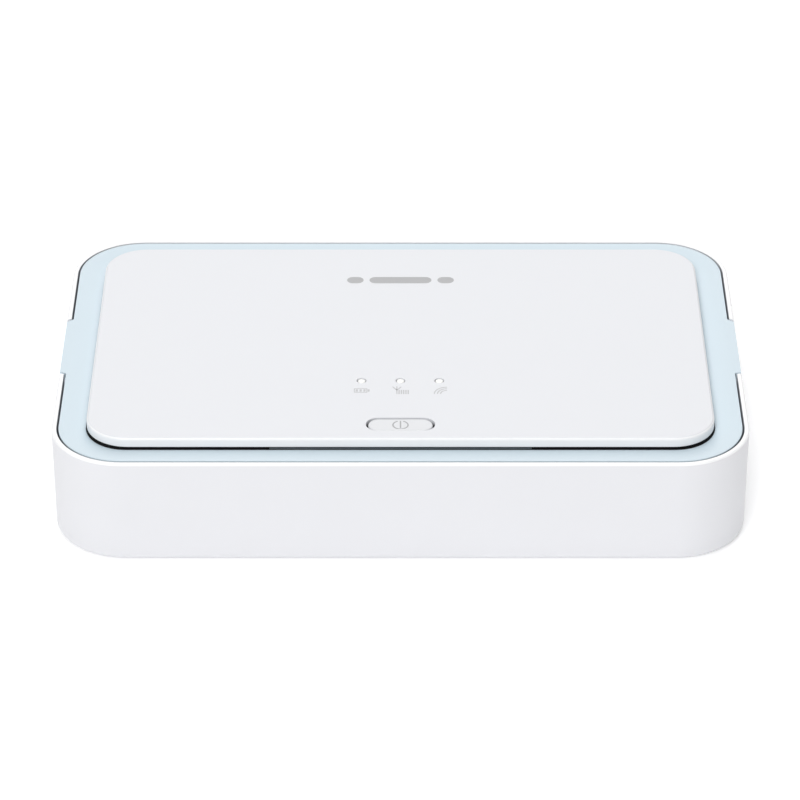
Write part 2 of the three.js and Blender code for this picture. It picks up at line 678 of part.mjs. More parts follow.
function chargingSocket() {
  const rear = coreHalfY - usb.shortOfSkirt;
  const front = rear - usb.length;
  const tube = slotAlongY(usb.width / 2, usb.height / 2, usb.radius, front, rear, usbMiddle);
  const bore = slotAlongY(usb.width / 2 - usb.wall, usb.height / 2 - usb.wall, usb.radius - usb.wall,
    front - fitGap, rear + fitGap, usbMiddle);
  const baseHalfX = usb.width / 2 - usb.wall - seatGap;
  const baseHalfZ = usb.height / 2 - usb.wall - seatGap;
  const base = slotAlongY(baseHalfX, baseHalfZ, usb.radius - usb.wall - seatGap,
    front, front + usbTongue.base, usbMiddle);
  const blade = centredBlock(usbTongue.width, usbTongue.base + usbTongue.reach,
    usbMiddle - usbTongue.height / 2, usbMiddle + usbTongue.height / 2,
    0, front + (usbTongue.base + usbTongue.reach) / 2);
  return [
    piece("usb_shell", tube.subtract(bore), finish.steel),
    piece("usb_tongue", joined([base, blade]), finish.black),
  ];
}

// A card that slides along Y in a steel sheet hood with a plastic contact base above it
function cardSlot(name, size, x) {
  const frontY = -cardBay.depth / 2 + cardBay.frontInset;
  const baseBottom = partTop - socket.base;
  const cardTop = baseBottom - slideGap;
  const cardBottom = cardTop - size.thickness;
  const sheetTop = cardBottom - slideGap;
  const halfInside = size.width / 2 + socket.side;
  const halfOutside = halfInside + socket.sheet;
  const hoodBack = frontY + size.covered;
  const hoodFront = frontY - socket.stop;
  const hoodBottom = sheetTop - socket.sheet;
  const hood = without(block(-halfOutside, halfOutside, hoodFront, hoodBack, hoodBottom, partTop), [
    block(-halfInside, halfInside, hoodFront + socket.sheet, hoodBack + fitGap, sheetTop, height),
    centredBlock(socket.window, socket.window, 0, height, 0, frontY + size.covered / 2),
  ]);
  const halfBase = halfInside - slideGap;
  const base = block(-halfBase, halfBase, frontY, hoodBack, baseBottom, partTop);
  const outline = new THREE.Shape(
    [
      [-size.width / 2, 0],
      [size.width / 2 - size.notch, 0],
      [size.width / 2, size.notch],
      [size.width / 2, size.length],
      [-size.width / 2, size.length],
    ].map(([u, v]) => new THREE.Vector2(u, v)),
  );
  return [
    piece(`${name}_socket_shell`, hood, finish.steel, [x, 0, 0]),
    piece(`${name}_socket_base`, base, finish.black, [x, 0, 0]),
    piece(`${name}_card`, slab(outline, 0, size.thickness), finish.charcoal, [x, frontY, cardBottom]),
  ];
}

function cardSlots() {
  return [...cardSlot("sim", simSize, simX), ...cardSlot("memory", memorySize, memoryX)];
}

// ---------------------------------------------------------------------------------------------
// Assembly
// ---------------------------------------------------------------------------------------------

const group = new THREE.Group();
group.add(
  backCover(),
  batteryCushion(),
  midFrame(),
  topPlate(),
  plateGasket(),
  powerButton(),
  ...powerSwitch(),
  ...resetSwitchParts(),
  ...lightPipes(),
  ledLightShield(),
  innerHousing(),
  ...screws(),
  mainBoard(),
  ...batteryPack(),
  batteryBayLabel(),
  ...batteryConnector(),
  ...shieldedPart("modem", modem),
  ...shieldedPart("wifi", wifi),
  ...shieldedPart("power", power),
  powerInductor(),
  ...heatPath(),
  ...sideAntenna("main_antenna", 1),
  ...sideAntenna("second_antenna", -1),
  wifiAntennaPart(),
  ...chargingSocket(),
  ...cardSlots(),
);

export default group;
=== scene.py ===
"""Pocket mobile hotspot: fine surfaces, finishes, floor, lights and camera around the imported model."""

import math

import bpy
from bpy.props import FloatProperty, FloatVectorProperty, PointerProperty
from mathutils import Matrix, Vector


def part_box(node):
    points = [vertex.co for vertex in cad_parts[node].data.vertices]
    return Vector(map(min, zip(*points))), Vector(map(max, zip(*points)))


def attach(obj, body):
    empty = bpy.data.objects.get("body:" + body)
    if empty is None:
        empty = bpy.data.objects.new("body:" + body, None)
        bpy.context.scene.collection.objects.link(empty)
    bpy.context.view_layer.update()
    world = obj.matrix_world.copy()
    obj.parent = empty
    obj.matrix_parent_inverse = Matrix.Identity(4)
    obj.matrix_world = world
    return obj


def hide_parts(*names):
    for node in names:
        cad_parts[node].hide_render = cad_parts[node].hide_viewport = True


bl_info = {
    "name": "Mobile hotspot",
    "version": (1, 0, 0),
    "blender": (4, 5, 0),
    "location": "View3D > Sidebar > Hotspot",
    "description": "Builds the visible pieces of a pocket mobile hotspot around its CAD frame",
    "category": "Object",
}

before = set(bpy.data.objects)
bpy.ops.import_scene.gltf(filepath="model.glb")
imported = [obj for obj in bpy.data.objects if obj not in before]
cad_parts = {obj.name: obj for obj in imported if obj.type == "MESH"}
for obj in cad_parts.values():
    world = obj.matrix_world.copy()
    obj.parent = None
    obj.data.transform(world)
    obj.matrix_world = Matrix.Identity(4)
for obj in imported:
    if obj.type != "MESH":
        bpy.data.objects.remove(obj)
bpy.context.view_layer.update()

# Blender's lengths are in metres.
MM = 0.001
RIGHT_ANGLE = math.pi / 2

# Places closer than TINY count as the same, and points closer than MERGE become one after a bevel.
TINY = 1e-6
MERGE = 5e-6

# How far a cutter runs out past the surface that it cuts.
PAST = 1 * MM

# How deep one part of a piece reaches into the next before they are joined.
OVERLAP = 0.2 * MM

# Air left between two pieces that would otherwise touch.
CLEARANCE = 0.05 * MM

# Steps in the rounding of a large corner, seen from above.
CORNER_STEPS = 20

# A face looks along an axis when its normal has at least this share along it.
FACING = 0.9

# What tells the like pieces of the CAD apart.
LIGHTS = ("battery", "signal", "wifi")
SCREW_NUMBERS = range(1, 7)
CONTACT_NUMBERS = range(1, 4)

# Radii of a light pipe's lower end, of a screw's pilot hole and of its shank.
PIPE_RADIUS = 0.9 * MM
PILOT_RADIUS = 0.85 * MM
SHANK_RADIUS = 0.8 * MM


# ---------------------------------------------------------------------------------------------
# Sizes and colours that a user would change
# ---------------------------------------------------------------------------------------------

def length(name, description, default_mm):
    """A size property whose default is given in millimetres."""
    return FloatProperty(name=name, description=description, default=default_mm * MM, min=0.0,
                         precision=5, unit="LENGTH")


def colour(name, description, default):
    """A colour property."""
    return FloatVectorProperty(name=name, description=description, default=default, size=3,
                               min=0.0, max=1.0, subtype="COLOR")


class HotspotCoverSizes(bpy.types.PropertyGroup):
    corner_radius: length("Corner radius", "Radius of the back cover's corners seen from above", 10.5)
    wall: length("Wall", "Thickness of the back cover's sides", 0.7)
    floor: length("Floor", "Thickness of the back cover's floor", 1.0)
    fillet: length("Fillet", "Rounding of the edge around the underside", 1.2)
    rim_round: length("Rim rounding", "Rounding of the rim's outer edge", 0.26)
    draft: length("Draft", "Inward lean of each side from rim to base", 0.1)
    edge: length("Edge rounding", "Rounding of cut edges", 0.1)
    notch_depth: length("Notch depth", "Depth of the side notches below the rim", 2.2)
    window_side: length("Window side gap", "Space beside the charging socket in the cover's window", 0.85)
    window_end: length("Window end gap", "Space above and below the charging socket", 0.55)
    catch_length: length("Catch length", "Length of a snap catch", 10.0)
    catch_height: length("Catch height", "Height of a snap catch", 0.8)
    catch_proud: length("Catch proud", "How far a snap catch stands out", 0.2)
    catch_place: length("Catch place", "Distance of a snap catch from the middle", 25.0)
    catch_drop: length("Catch drop", "Distance of a snap catch below the rim", 4.5)


class HotspotFrameSizes(bpy.types.PropertyGroup):
    gap: length("Gap", "Gap between the back cover's wall and the mid frame", 0.3)
    skirt: length("Skirt", "Thickness of the mid frame's skirt", 1.2)
    deck: length("Deck", "Thickness of the mid frame's deck", 1.1)
    ring_flat: length("Ring flat", "Flat band at the ring's outer edge", 0.35)
    ring_dish: length("Ring dish", "How far the ring dips towards the plate", 0.52)
    dish_curve: FloatProperty(name="Dish curve", description="How sharply the ring dips next to the plate",
                              default=1.6)
    # The frame's dark strip is painted shade, which stands in for the shade in the seam between the frame
    # and the back cover.
    seam_shade_top: length("Band top", "Distance of the dark band's top below the rim", 0.22)
    seam_shade_height: length("Band height", "Height of the dark band round the frame", 1.1)
    recess: length("Recess", "How far the sunk deck reaches past the plate", 0.15)
    edge: length("Edge rounding", "Rounding of the frame's edges", 0.1)
    tongue_length: length("Tongue length", "Length of a side tongue at its root", 16.2)
    front_slant: length("Front slant", "How far a tongue's front end slants in", 0.5)
    rear_slant: length("Rear slant", "How far a tongue's rear end slants in", 1.1)
    tongue_offset: length("Tongue offset", "Distance of the tongues behind the middle", 0.5)
    tongue_thickness: length("Tongue thickness", "Thickness of a side tongue", 1.1)
    web_length: length("Web length", "Length of the web that carries the plate's front edge", 37.3)
    web_width: length("Web width", "Width of that web", 2.5)
    boss_radius: length("Boss radius", "Radius of a screw boss", 2.5)
    post_radius: length("Post radius", "Radius of a post that holds the board down", 1.5)


class HotspotPlateSizes(bpy.types.PropertyGroup):
    corner_radius: length("Corner radius", "Radius of the top plate's corners", 6.2)
    top_round: length("Top rounding", "Rounding of the plate's top edge", 0.4)
    low_round: length("Low rounding", "Rounding of the plate's lower edge", 0.1)
    hole_round: length("Hole rounding", "Rounding of the button's and the windows' edges", 0.12)
    button_gap: length("Button gap", "Gap between the power button and its hole", 0.2)
    button_end_gap: length("Button end gap", "The same gap at the button's two ends", 0.32)
    button_pocket: length("Button pocket", "Depth of the hollow under the plate round the button", 0.9)
    button_lip: length("Button lip", "How far the button's flange reaches past its hole", 0.7)
    button_flange: length("Button flange", "Thickness of the button's flange", 0.6)
    button_stem: length("Button stem", "Radius of the button's stem", 1.2)
    button_round: length("Button rounding", "Rounding of the button's top edge", 0.22)
    button_dish: length("Button dish", "How far the button's face is sunk inside its edge", 0.06)
    window_radius: length("Window radius", "Radius of an indicator window in the plate", 0.725)
    window_gap: length("Window gap", "Gap between a light pipe and its window", 0.17)
    print_height: length("Print height", "Thickness of the printed symbols", 0.02)


class HotspotColours(bpy.types.PropertyGroup):
    cover: colour("Back cover", "Satin white of the back cover", (0.777, 0.782, 0.811))
    plate: colour("Top plate", "White of the top plate", (0.79, 0.80, 0.83))
    # The lighter white below is painted light: a painted highlight on the back cover's rim and painted
    # light on the plate's outer sides.
    bright: colour("Bright edges", "White of the polished rim and of the plate's edge", (0.96, 0.96, 0.97))
    ring: colour("Ring", "Pale blue of the mid frame", (0.635, 0.74, 0.805))
    button: colour("Button", "White of the power button", (0.76, 0.77, 0.79))
    symbol: colour("Symbols", "Grey of the printed symbols", (0.58, 0.58, 0.59))
    mark: colour("Mark", "Grey of the plain mark at the back of the plate", (0.47, 0.47, 0.48))
    floor: colour("Floor", "Pale floor", (0.96, 0.96, 0.96))


class HotspotStage(bpy.types.PropertyGroup):
    lens: FloatProperty(name="Lens", description="Camera lens in millimetres on a 36 mm sensor",
                        default=177.7)
    distance: length("Distance", "Camera distance from the middle of the hotspot", 589.3)
    elevation: FloatProperty(name="Elevation", description="Camera height above the horizon",
                             default=math.radians(31.08), subtype="ANGLE")
    aim_height: length("Aim height", "Height of the point that the camera looks at", 8.0)
    slide: FloatProperty(name="Slide", description="Camera shift along the picture's width",
                         default=-0.0006)
    rise: FloatProperty(name="Rise", description="Camera shift along the picture's height",
                        default=-0.0062)
    sky: FloatProperty(name="Sky", description="Strength of the even light all round", default=0.34)


def cover_sizes():
    return bpy.context.scene.hotspot_cover


def frame_sizes():
    return bpy.context.scene.hotspot_frame


def plate_sizes():
    return bpy.context.scene.hotspot_plate


def colours():
    return bpy.context.scene.hotspot_colours


# ---------------------------------------------------------------------------------------------
# Modelling helpers
# ---------------------------------------------------------------------------------------------

def start_piece():
    """Leaves edit mode with nothing selected, ready for a new primitive."""
    if bpy.context.object and bpy.context.object.mode != "OBJECT":
        bpy.ops.object.mode_set(mode="OBJECT")
    bpy.ops.object.select_all(action="DESELECT")


def activate(obj):
    """Leaves edit mode and makes obj the only selected object."""
    start_piece()
    obj.select_set(True)
    bpy.context.view_layer.objects.active = obj


def apply_place(obj):
    """Moves obj's place, turn and scale into its mesh."""
    activate(obj)
    bpy.ops.object.transform_apply(location=True, rotation=True, scale=True)


def add_box(name, low, high):
    """A box between two corners."""
    start_piece()
    low, high = Vector(low), Vector(high)
    bpy.ops.mesh.primitive_cube_add(size=1, location=(low + high) / 2)
    obj = bpy.context.object
    obj.name = name
    obj.scale = high - low
    apply_place(obj)
    return obj


def add_rod(name, centre, radius, bottom, top, sides=48):
    """An upright rod about centre, between two heights."""
    start_piece()
    middle = (centre[0], centre[1], (bottom + top) / 2)
    bpy.ops.mesh.primitive_cylinder_add(vertices=sides, radius=radius, depth=top - bottom, location=middle)
    obj = bpy.context.object
    obj.name = name
    apply_place(obj)
    return obj


def select_parts(obj, kind, test):
    """Opens obj for editing with only the vertices, edges or faces that pass test selected."""
    activate(obj)
    bpy.ops.object.mode_set(mode="EDIT")
    bpy.ops.mesh.select_mode(type=kind)
    bpy.ops.mesh.select_all(action="DESELECT")
    bpy.ops.object.mode_set(mode="OBJECT")
    mesh = obj.data
    points = [vertex.co for vertex in mesh.vertices]
    if kind == "VERT":
        for vertex in mesh.vertices:
            vertex.select = test(vertex.co)
    elif kind == "EDGE":
        for edge in mesh.edges:
            edge.select = test(*(points[i] for i in edge.vertices))
    else:
        for face in mesh.polygons:
            face.select = test(face.center, face.normal)
    bpy.ops.object.mode_set(mode="EDIT")


def along(axis):
    """An edge test: the edge runs along that axis."""
    def test(a, b):
        step = b - a
        return abs(step[axis]) > TINY and step.length - abs(step[axis]) < TINY
    return test


def at_height(z):
    """An edge test: the edge lies at that height."""
    return lambda a, b: abs(a.z - z) < TINY and abs(b.z - z) < TINY


def facing_up(z):
    """A face test: the face looks up and lies at that height."""
    return lambda centre, normal: normal.z > FACING and abs(centre.z - z) < TINY


def round_edges(obj, test, width, steps):
    """Rounds the edges that pass test, then merges the points that the rounding lays on each other."""
    select_parts(obj, "EDGE", test)
    bpy.ops.mesh.bevel(offset=width, segments=steps, affect="EDGES")
    bpy.ops.mesh.select_all(action="SELECT")
    bpy.ops.mesh.remove_doubles(threshold=MERGE)
    bpy.ops.object.mode_set(mode="OBJECT")


def rounded_block(name, low, high, radius, steps=16, axis=2):
    """A box whose four edges along axis are rounded."""
    obj = add_box(name, low, high)
    round_edges(obj, along(axis), radius, steps)
    return obj


def capsule_block(name, centre, size, bottom, top, steps=16):
    """An upright block about centre with round ends, as wide and as deep as size says."""
    half = Vector((size[0] / 2, size[1] / 2))
    low = (centre[0] - half.x, centre[1] - half.y, bottom)
    high = (centre[0] + half.x, centre[1] + half.y, top)
    return rounded_block(name, low, high, min(half) - TINY, steps)


def combine(obj, tools, operation):
    """Joins tools to obj or cuts them out of it, then removes the tools."""
    for tool in tools:
        activate(obj)
        bpy.ops.object.modifier_add(type="BOOLEAN")
        modifier = obj.modifiers[-1]
        modifier.operation = operation
        modifier.solver = "EXACT"
        modifier.object = tool
        bpy.ops.object.modifier_apply(modifier=modifier.name)
        bpy.data.objects.remove(tool, do_unlink=True)


def join_all(name, objects):
    """Makes one object of many, under a new name."""
    activate(objects[0])
    for obj in objects[1:]:
        obj.select_set(True)
    bpy.ops.object.join()
    objects[0].name = name
    return objects[0]


def soften(obj, width, steps=2, limit=40):
    """Rounds every sharp edge and shades the rest smooth."""
    activate(obj)
    bpy.ops.object.modifier_add(type="BEVEL")
    modifier = obj.modifiers[-1]
    modifier.width = width
    modifier.segments = steps
    modifier.limit_method = "ANGLE"
    modifier.angle_limit = math.radians(limit)
    modifier.miter_outer = "MITER_ARC"
    bpy.ops.object.modifier_apply(modifier=modifier.name)
    smooth(obj)


def smooth(obj, limit=30):
    """Shades rounded edges smooth and keeps broad flat faces flat."""
    activate(obj)
    bpy.ops.object.shade_smooth_by_angle(angle=math.radians(limit))
    bpy.ops.object.modifier_add(type="WEIGHTED_NORMAL")
    modifier = obj.modifiers[-1]
    modifier.keep_sharp = True
    bpy.ops.object.modifier_apply(modifier=modifier.name)


def copy_piece(obj, name, offset):
    """Copies obj with its own mesh to a place offset away."""
    copied = obj.copy()
    copied.data = obj.data.copy()
    copied.name = name
    bpy.context.scene.collection.objects.link(copied)
    activate(copied)
    bpy.ops.transform.translate(value=offset)
    apply_place(copied)
    return copied


def finish_piece(obj, body, material, replaced=()):
    """Gives a piece its material, the body it rides on and the CAD nodes it stands for."""
    apply_place(obj)
    obj.data.materials.clear()
    obj.data.materials.append(material)
    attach(obj, body)
    if replaced:
        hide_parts(*replaced)


def paint_faces(obj, material, test):
    """Gives the faces that pass test one more material."""
    obj.data.materials.append(material)
    select_parts(obj, "FACE", test)
    obj.active_material_index = len(obj.data.materials) - 1
    bpy.ops.object.material_slot_assign()
    bpy.ops.object.mode_set(mode="OBJECT")


# ---------------------------------------------------------------------------------------------
# Finishes
# ---------------------------------------------------------------------------------------------

def start_material(name, base, roughness, metallic=0.0):
    """A new material with even colour, gloss and metal, which its caller then varies."""
    material = bpy.data.materials.new(name)
    material.use_nodes = True
    tree = material.node_tree
    shader = tree.nodes["Principled BSDF"]
    shader.inputs["Base Color"].default_value = (*base, 1.0)
    shader.inputs["Roughness"].default_value = roughness
    shader.inputs["Metallic"].default_value = metallic
    return material, tree, shader


def object_noise(tree, size, detail=3.0, stretch=(1.0, 1.0, 1.0)):
    """Noise whose features are about size across, in metres."""
    place = tree.nodes.new("ShaderNodeTexCoord")
    mapping = tree.nodes.new("ShaderNodeMapping")
    mapping.inputs["Scale"].default_value = stretch
    noise = tree.nodes.new("ShaderNodeTexNoise")
    noise.inputs["Scale"].default_value = 1.0 / size
    noise.inputs["Detail"].default_value = detail
    tree.links.new(place.outputs["Object"], mapping.inputs["Vector"])
    tree.links.new(mapping.outputs["Vector"], noise.inputs["Vector"])
    return noise.outputs["Fac"]


def vary_colour(tree, shader, pattern, low, high):
    """Lets the colour run from low to high with the pattern."""
    mix = tree.nodes.new("ShaderNodeMix")
    mix.data_type = "RGBA"
    mix.inputs["A"].default_value = (*low, 1.0)
    mix.inputs["B"].default_value = (*high, 1.0)
    tree.links.new(pattern, mix.inputs["Factor"])
    tree.links.new(mix.outputs["Result"], shader.inputs["Base Color"])


def vary_roughness(tree, shader, pattern, low, high):
    """Lets the roughness run from low to high with the pattern."""
    spread = tree.nodes.new("ShaderNodeMapRange")
    spread.inputs["To Min"].default_value = low
    spread.inputs["To Max"].default_value = high
    tree.links.new(pattern, spread.inputs["Value"])
    tree.links.new(spread.outputs["Result"], shader.inputs["Roughness"])


def add_bump(tree, shader, pattern, strength, height):
    """Raises the surface with the pattern, by height at most."""
    bump = tree.nodes.new("ShaderNodeBump")
    bump.inputs["Strength"].default_value = strength
    bump.inputs["Distance"].default_value = height
    tree.links.new(pattern, bump.inputs["Height"])
    tree.links.new(bump.outputs["Normal"], shader.inputs["Normal"])


def shade(base, amount):
    """The same colour, darker or lighter."""
    return tuple(channel * amount for channel in base)


def moulded_plastic(name, base, roughness, grain=0.3 * MM, relief=0.004 * MM):
    """Moulded plastic: a fine eroded grain and slow changes of tone and gloss."""
    material, tree, shader = start_material(name, base, roughness)
    cloud = object_noise(tree, size=14 * MM, detail=2.0)
    vary_colour(tree, shader, cloud, shade(base, 0.985), shade(base, 1.01))
    vary_roughness(tree, shader, cloud, low=roughness - 0.03, high=roughness + 0.05)
    add_bump(tree, shader, object_noise(tree, grain, detail=2.0), strength=0.5, height=relief)
    return material


def multiply(tree, first, second):
    """The product of two patterns."""
    product = tree.nodes.new("ShaderNodeMath")
    product.operation = "MULTIPLY"
    tree.links.new(first, product.inputs[0])
    tree.links.new(second, product.inputs[1])
    return product.outputs["Value"]


def split_axes(tree, kind):
    """The X, Y and Z parts of a point's place ("Object") or of the surface's normal ("Normal")."""
    place = tree.nodes.new("ShaderNodeTexCoord")
    split = tree.nodes.new("ShaderNodeSeparateXYZ")
    tree.links.new(place.outputs[kind], split.inputs["Vector"])
    return split.outputs


def between(tree, value, low, high):
    """One where value lies between low and high, else zero."""
    tests = []
    for operation, limit in (("GREATER_THAN", low), ("LESS_THAN", high)):
        test = tree.nodes.new("ShaderNodeMath")
        test.operation = operation
        test.inputs[1].default_value = limit
        tree.links.new(value, test.inputs[0])
        tests.append(test.outputs["Value"])
    return multiply(tree, *tests)


def plastic_with_seam_shade(name, base, seam_shade, low, high, reach):
    """Moulded plastic whose upright faces carry painted shade between two heights: a darker colour that
    stands in for the shade in a narrow seam.

    The painted shade ends at reach from the middle on either side. A face is upright when its normal
    rises or falls by less than steep.
    """
    steep = 0.5
    material = moulded_plastic(name, base, roughness=0.3, relief=0.002 * MM)
    tree = material.node_tree
    colour_input = tree.nodes["Principled BSDF"].inputs["Base Color"]
    plain = colour_input.links[0].from_socket
    place, normal = split_axes(tree, "Object"), split_axes(tree, "Normal")
    in_seam_shade = between(tree, place["Z"], low, high)
    in_seam_shade = multiply(tree, in_seam_shade, between(tree, place["X"], -reach, reach))
    in_seam_shade = multiply(tree, in_seam_shade, between(tree, normal["Z"], -steep, steep))
    mix = tree.nodes.new("ShaderNodeMix")
    mix.data_type = "RGBA"
    mix.inputs["B"].default_value = (*seam_shade, 1.0)
    tree.links.new(in_seam_shade, mix.inputs["Factor"])
    tree.links.new(plain, mix.inputs["A"])
    tree.links.new(mix.outputs["Result"], colour_input)
    return material


def black_foam(name):
    """Dull black foam with fine open cells."""
    material, tree, shader = start_material(name, (0.012, 0.012, 0.013), roughness=0.95)
    cells = object_noise(tree, size=0.35 * MM, detail=4.0)
    vary_colour(tree, shader, cells, (0.006, 0.006, 0.007), (0.022, 0.022, 0.024))
    add_bump(tree, shader, cells, strength=0.8, height=0.05 * MM)
    return material


def milky_lens_painted_glow(name):
    """Milky clear plastic with a faint painted glow: it shines a little though no lamp lights it."""
    material, tree, shader = start_material(name, (0.95, 0.95, 0.92), roughness=0.2)
    # Painted light: a faint glow that lifts the lens above the plate's white.
    shader.inputs["Emission Color"].default_value = (1.0, 1.0, 0.96, 1.0)
    shader.inputs["Emission Strength"].default_value = 0.05
    haze = object_noise(tree, size=0.6 * MM)
    vary_colour(tree, shader, haze, (0.92, 0.92, 0.89), (0.97, 0.97, 0.94))
    vary_roughness(tree, shader, haze, low=0.15, high=0.28)
    return material


def printed_ink(name, base):
    """Matt printed ink with a fine speckle."""
    material, tree, shader = start_material(name, base, roughness=0.5)
    speckle = object_noise(tree, size=0.12 * MM)
    vary_colour(tree, shader, speckle, shade(base, 0.94), shade(base, 1.05))
    vary_roughness(tree, shader, speckle, low=0.45, high=0.6)
    return material


def drawn_metal(name, base, roughness, stretch=(1.0, 14.0, 14.0)):
    """Sheet metal with fine lines along X, or turned metal where stretch is even."""
    material, tree, shader = start_material(name, base, roughness, metallic=1.0)
    lines = object_noise(tree, size=1.6 * MM, detail=4.0, stretch=stretch)
    vary_colour(tree, shader, lines, shade(base, 0.86), shade(base, 1.06))
    vary_roughness(tree, shader, lines, low=roughness - 0.06, high=roughness + 0.14)
    add_bump(tree, shader, lines, strength=0.3, height=0.004 * MM)
    return material


def circuit_board(name):
    """Green solder resist over long, narrow copper tracks."""
    tile = 5 * MM
    material, tree, shader = start_material(name, (0.015, 0.11, 0.05), roughness=0.35)
    place = tree.nodes.new("ShaderNodeTexCoord")
    tracks = tree.nodes.new("ShaderNodeTexBrick")
    tracks.inputs["Scale"].default_value = 1.0 / tile
    tracks.inputs["Color1"].default_value = (0.013, 0.10, 0.045, 1.0)
    tracks.inputs["Color2"].default_value = (0.017, 0.13, 0.06, 1.0)
    tracks.inputs["Mortar"].default_value = (0.035, 0.20, 0.09, 1.0)
    tracks.inputs["Mortar Size"].default_value = 0.02
    tracks.inputs["Brick Width"].default_value = 3.0
    tracks.inputs["Row Height"].default_value = 0.13
    tree.links.new(place.outputs["Object"], tracks.inputs["Vector"])
    tree.links.new(tracks.outputs["Color"], shader.inputs["Base Color"])
    add_bump(tree, shader, tracks.outputs["Fac"], strength=0.5, height=0.02 * MM)
    vary_roughness(tree, shader, object_noise(tree, size=3 * MM), low=0.3, high=0.45)
    return material


def battery_wrap(name):
    """Printed film on the cell: pale grey, with the left end of its length slate."""
    pale, slate = (0.62, 0.65, 0.68), (0.10, 0.14, 0.19)
    slate_share = 0.22
    material, tree, shader = start_material(name, pale, roughness=0.38)
    low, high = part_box("battery")
    edge = tree.nodes.new("ShaderNodeMath")
    edge.operation = "LESS_THAN"
    edge.inputs[1].default_value = low.x + slate_share * (high.x - low.x)
    tree.links.new(split_axes(tree, "Object")["X"], edge.inputs[0])
    vary_colour(tree, shader, edge.outputs["Value"], pale, slate)
    ripple = object_noise(tree, size=2.5 * MM)
    vary_roughness(tree, shader, ripple, low=0.32, high=0.46)
    add_bump(tree, shader, ripple, strength=0.25, height=0.02 * MM)
    return material


def ruled_label(name):
    """Off-white paper with plain grey ruled lines in place of any wording."""
    line_pitch = 7 * MM
    paper_share = 0.86
    material, tree, shader = start_material(name, (0.80, 0.80, 0.77), roughness=0.65)
    place = tree.nodes.new("ShaderNodeTexCoord")
    rules = tree.nodes.new("ShaderNodeTexWave")
    rules.bands_direction = "Y"
    rules.inputs["Scale"].default_value = 1.0 / line_pitch
    steps = tree.nodes.new("ShaderNodeValToRGB")
    steps.color_ramp.interpolation = "CONSTANT"
    steps.color_ramp.elements[0].color = (0.82, 0.82, 0.79, 1.0)
    steps.color_ramp.elements[1].position = paper_share
    steps.color_ramp.elements[1].color = (0.45, 0.45, 0.46, 1.0)
    tree.links.new(place.outputs["Object"], rules.inputs["Vector"])
    tree.links.new(rules.outputs["Fac"], steps.inputs["Fac"])
    tree.links.new(steps.outputs["Color"], shader.inputs["Base Color"])
    add_bump(tree, shader, object_noise(tree, size=0.2 * MM), strength=0.3, height=0.01 * MM)
    return material


# ---------------------------------------------------------------------------------------------
# Places shared by the pieces
# ---------------------------------------------------------------------------------------------

def core_half():
    """Half width and half depth of the mid frame's skirt at its top."""
    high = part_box("back_cover")[1]
    inset = cover_sizes().wall + frame_sizes().gap
    return high.x - inset, high.y - inset


def rim_top():
    """Height of the back cover's rim."""
    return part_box("back_cover")[1].z


def ring_top():
    """Height of the mid frame's ring at its outer edge."""
    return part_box("mid_frame")[1].z


def deck_top():
    """Height of the mid frame's sunk deck, just clear of the gasket."""
    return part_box("plate_gasket")[0].z - CLEARANCE


def plate_top():
    """Height of the plate's own face, which the printed symbols stand on."""
    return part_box("top_plate")[1].z - plate_sizes().print_height


def side_block(name, side, outer, root, bottom, top, gap):
    """A block at one side of the object whose front and back ends slant in towards the outside."""
    sizes = frame_sizes()
    half = sizes.tongue_length / 2 + gap
    middle = sizes.tongue_offset
    ends = sorted((side * root, side * outer))
    obj = add_box(name, (ends[0], middle - half, bottom), (ends[1], middle + half, top))
    for end, slant in ((-1, sizes.front_slant), (1, sizes.rear_slant)):
        corner = Vector((side * outer, middle + end * half))
        select_parts(obj, "VERT", lambda point: (point.xy - corner).length < TINY)
        bpy.ops.transform.translate(value=(0, -end * slant, 0))
        bpy.ops.object.mode_set(mode="OBJECT")
    return obj


def footprint(low, high, lip_x=0.0, lip_y=0.0):
    """Width and depth of a box, less a lip at each side."""
    return high.x - low.x - 2 * lip_x, high.y - low.y - 2 * lip_y


def catches(reach, long, tall):
    """Low bars on the long walls, at the snap catches' places."""
    sizes = cover_sizes()
    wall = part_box("back_cover")[1].y - sizes.wall
    middle = rim_top() - sizes.catch_drop
    bars = []
    for side in (-1, 1):
        for end in (-1, 1):
            ys = sorted((side * wall, side * (wall - sizes.draft - reach)))
            x = end * sizes.catch_place
            bars.append(add_box("catch", (x - long / 2, ys[0], middle - tall / 2),
                                (x + long / 2, ys[1], middle + tall / 2)))
    return bars


def lean(obj, split, draft):
    """Draws everything below split inward, so that the sides lean."""
    half = obj.dimensions / 2
    select_parts(obj, "VERT", lambda point: point.z < split)
    bpy.ops.transform.resize(value=(1 - draft / half.x, 1 - draft / half.y, 1), center_override=(0, 0, 0))
    bpy.ops.object.mode_set(mode="OBJECT")


# ---------------------------------------------------------------------------------------------
# Pieces
# ---------------------------------------------------------------------------------------------

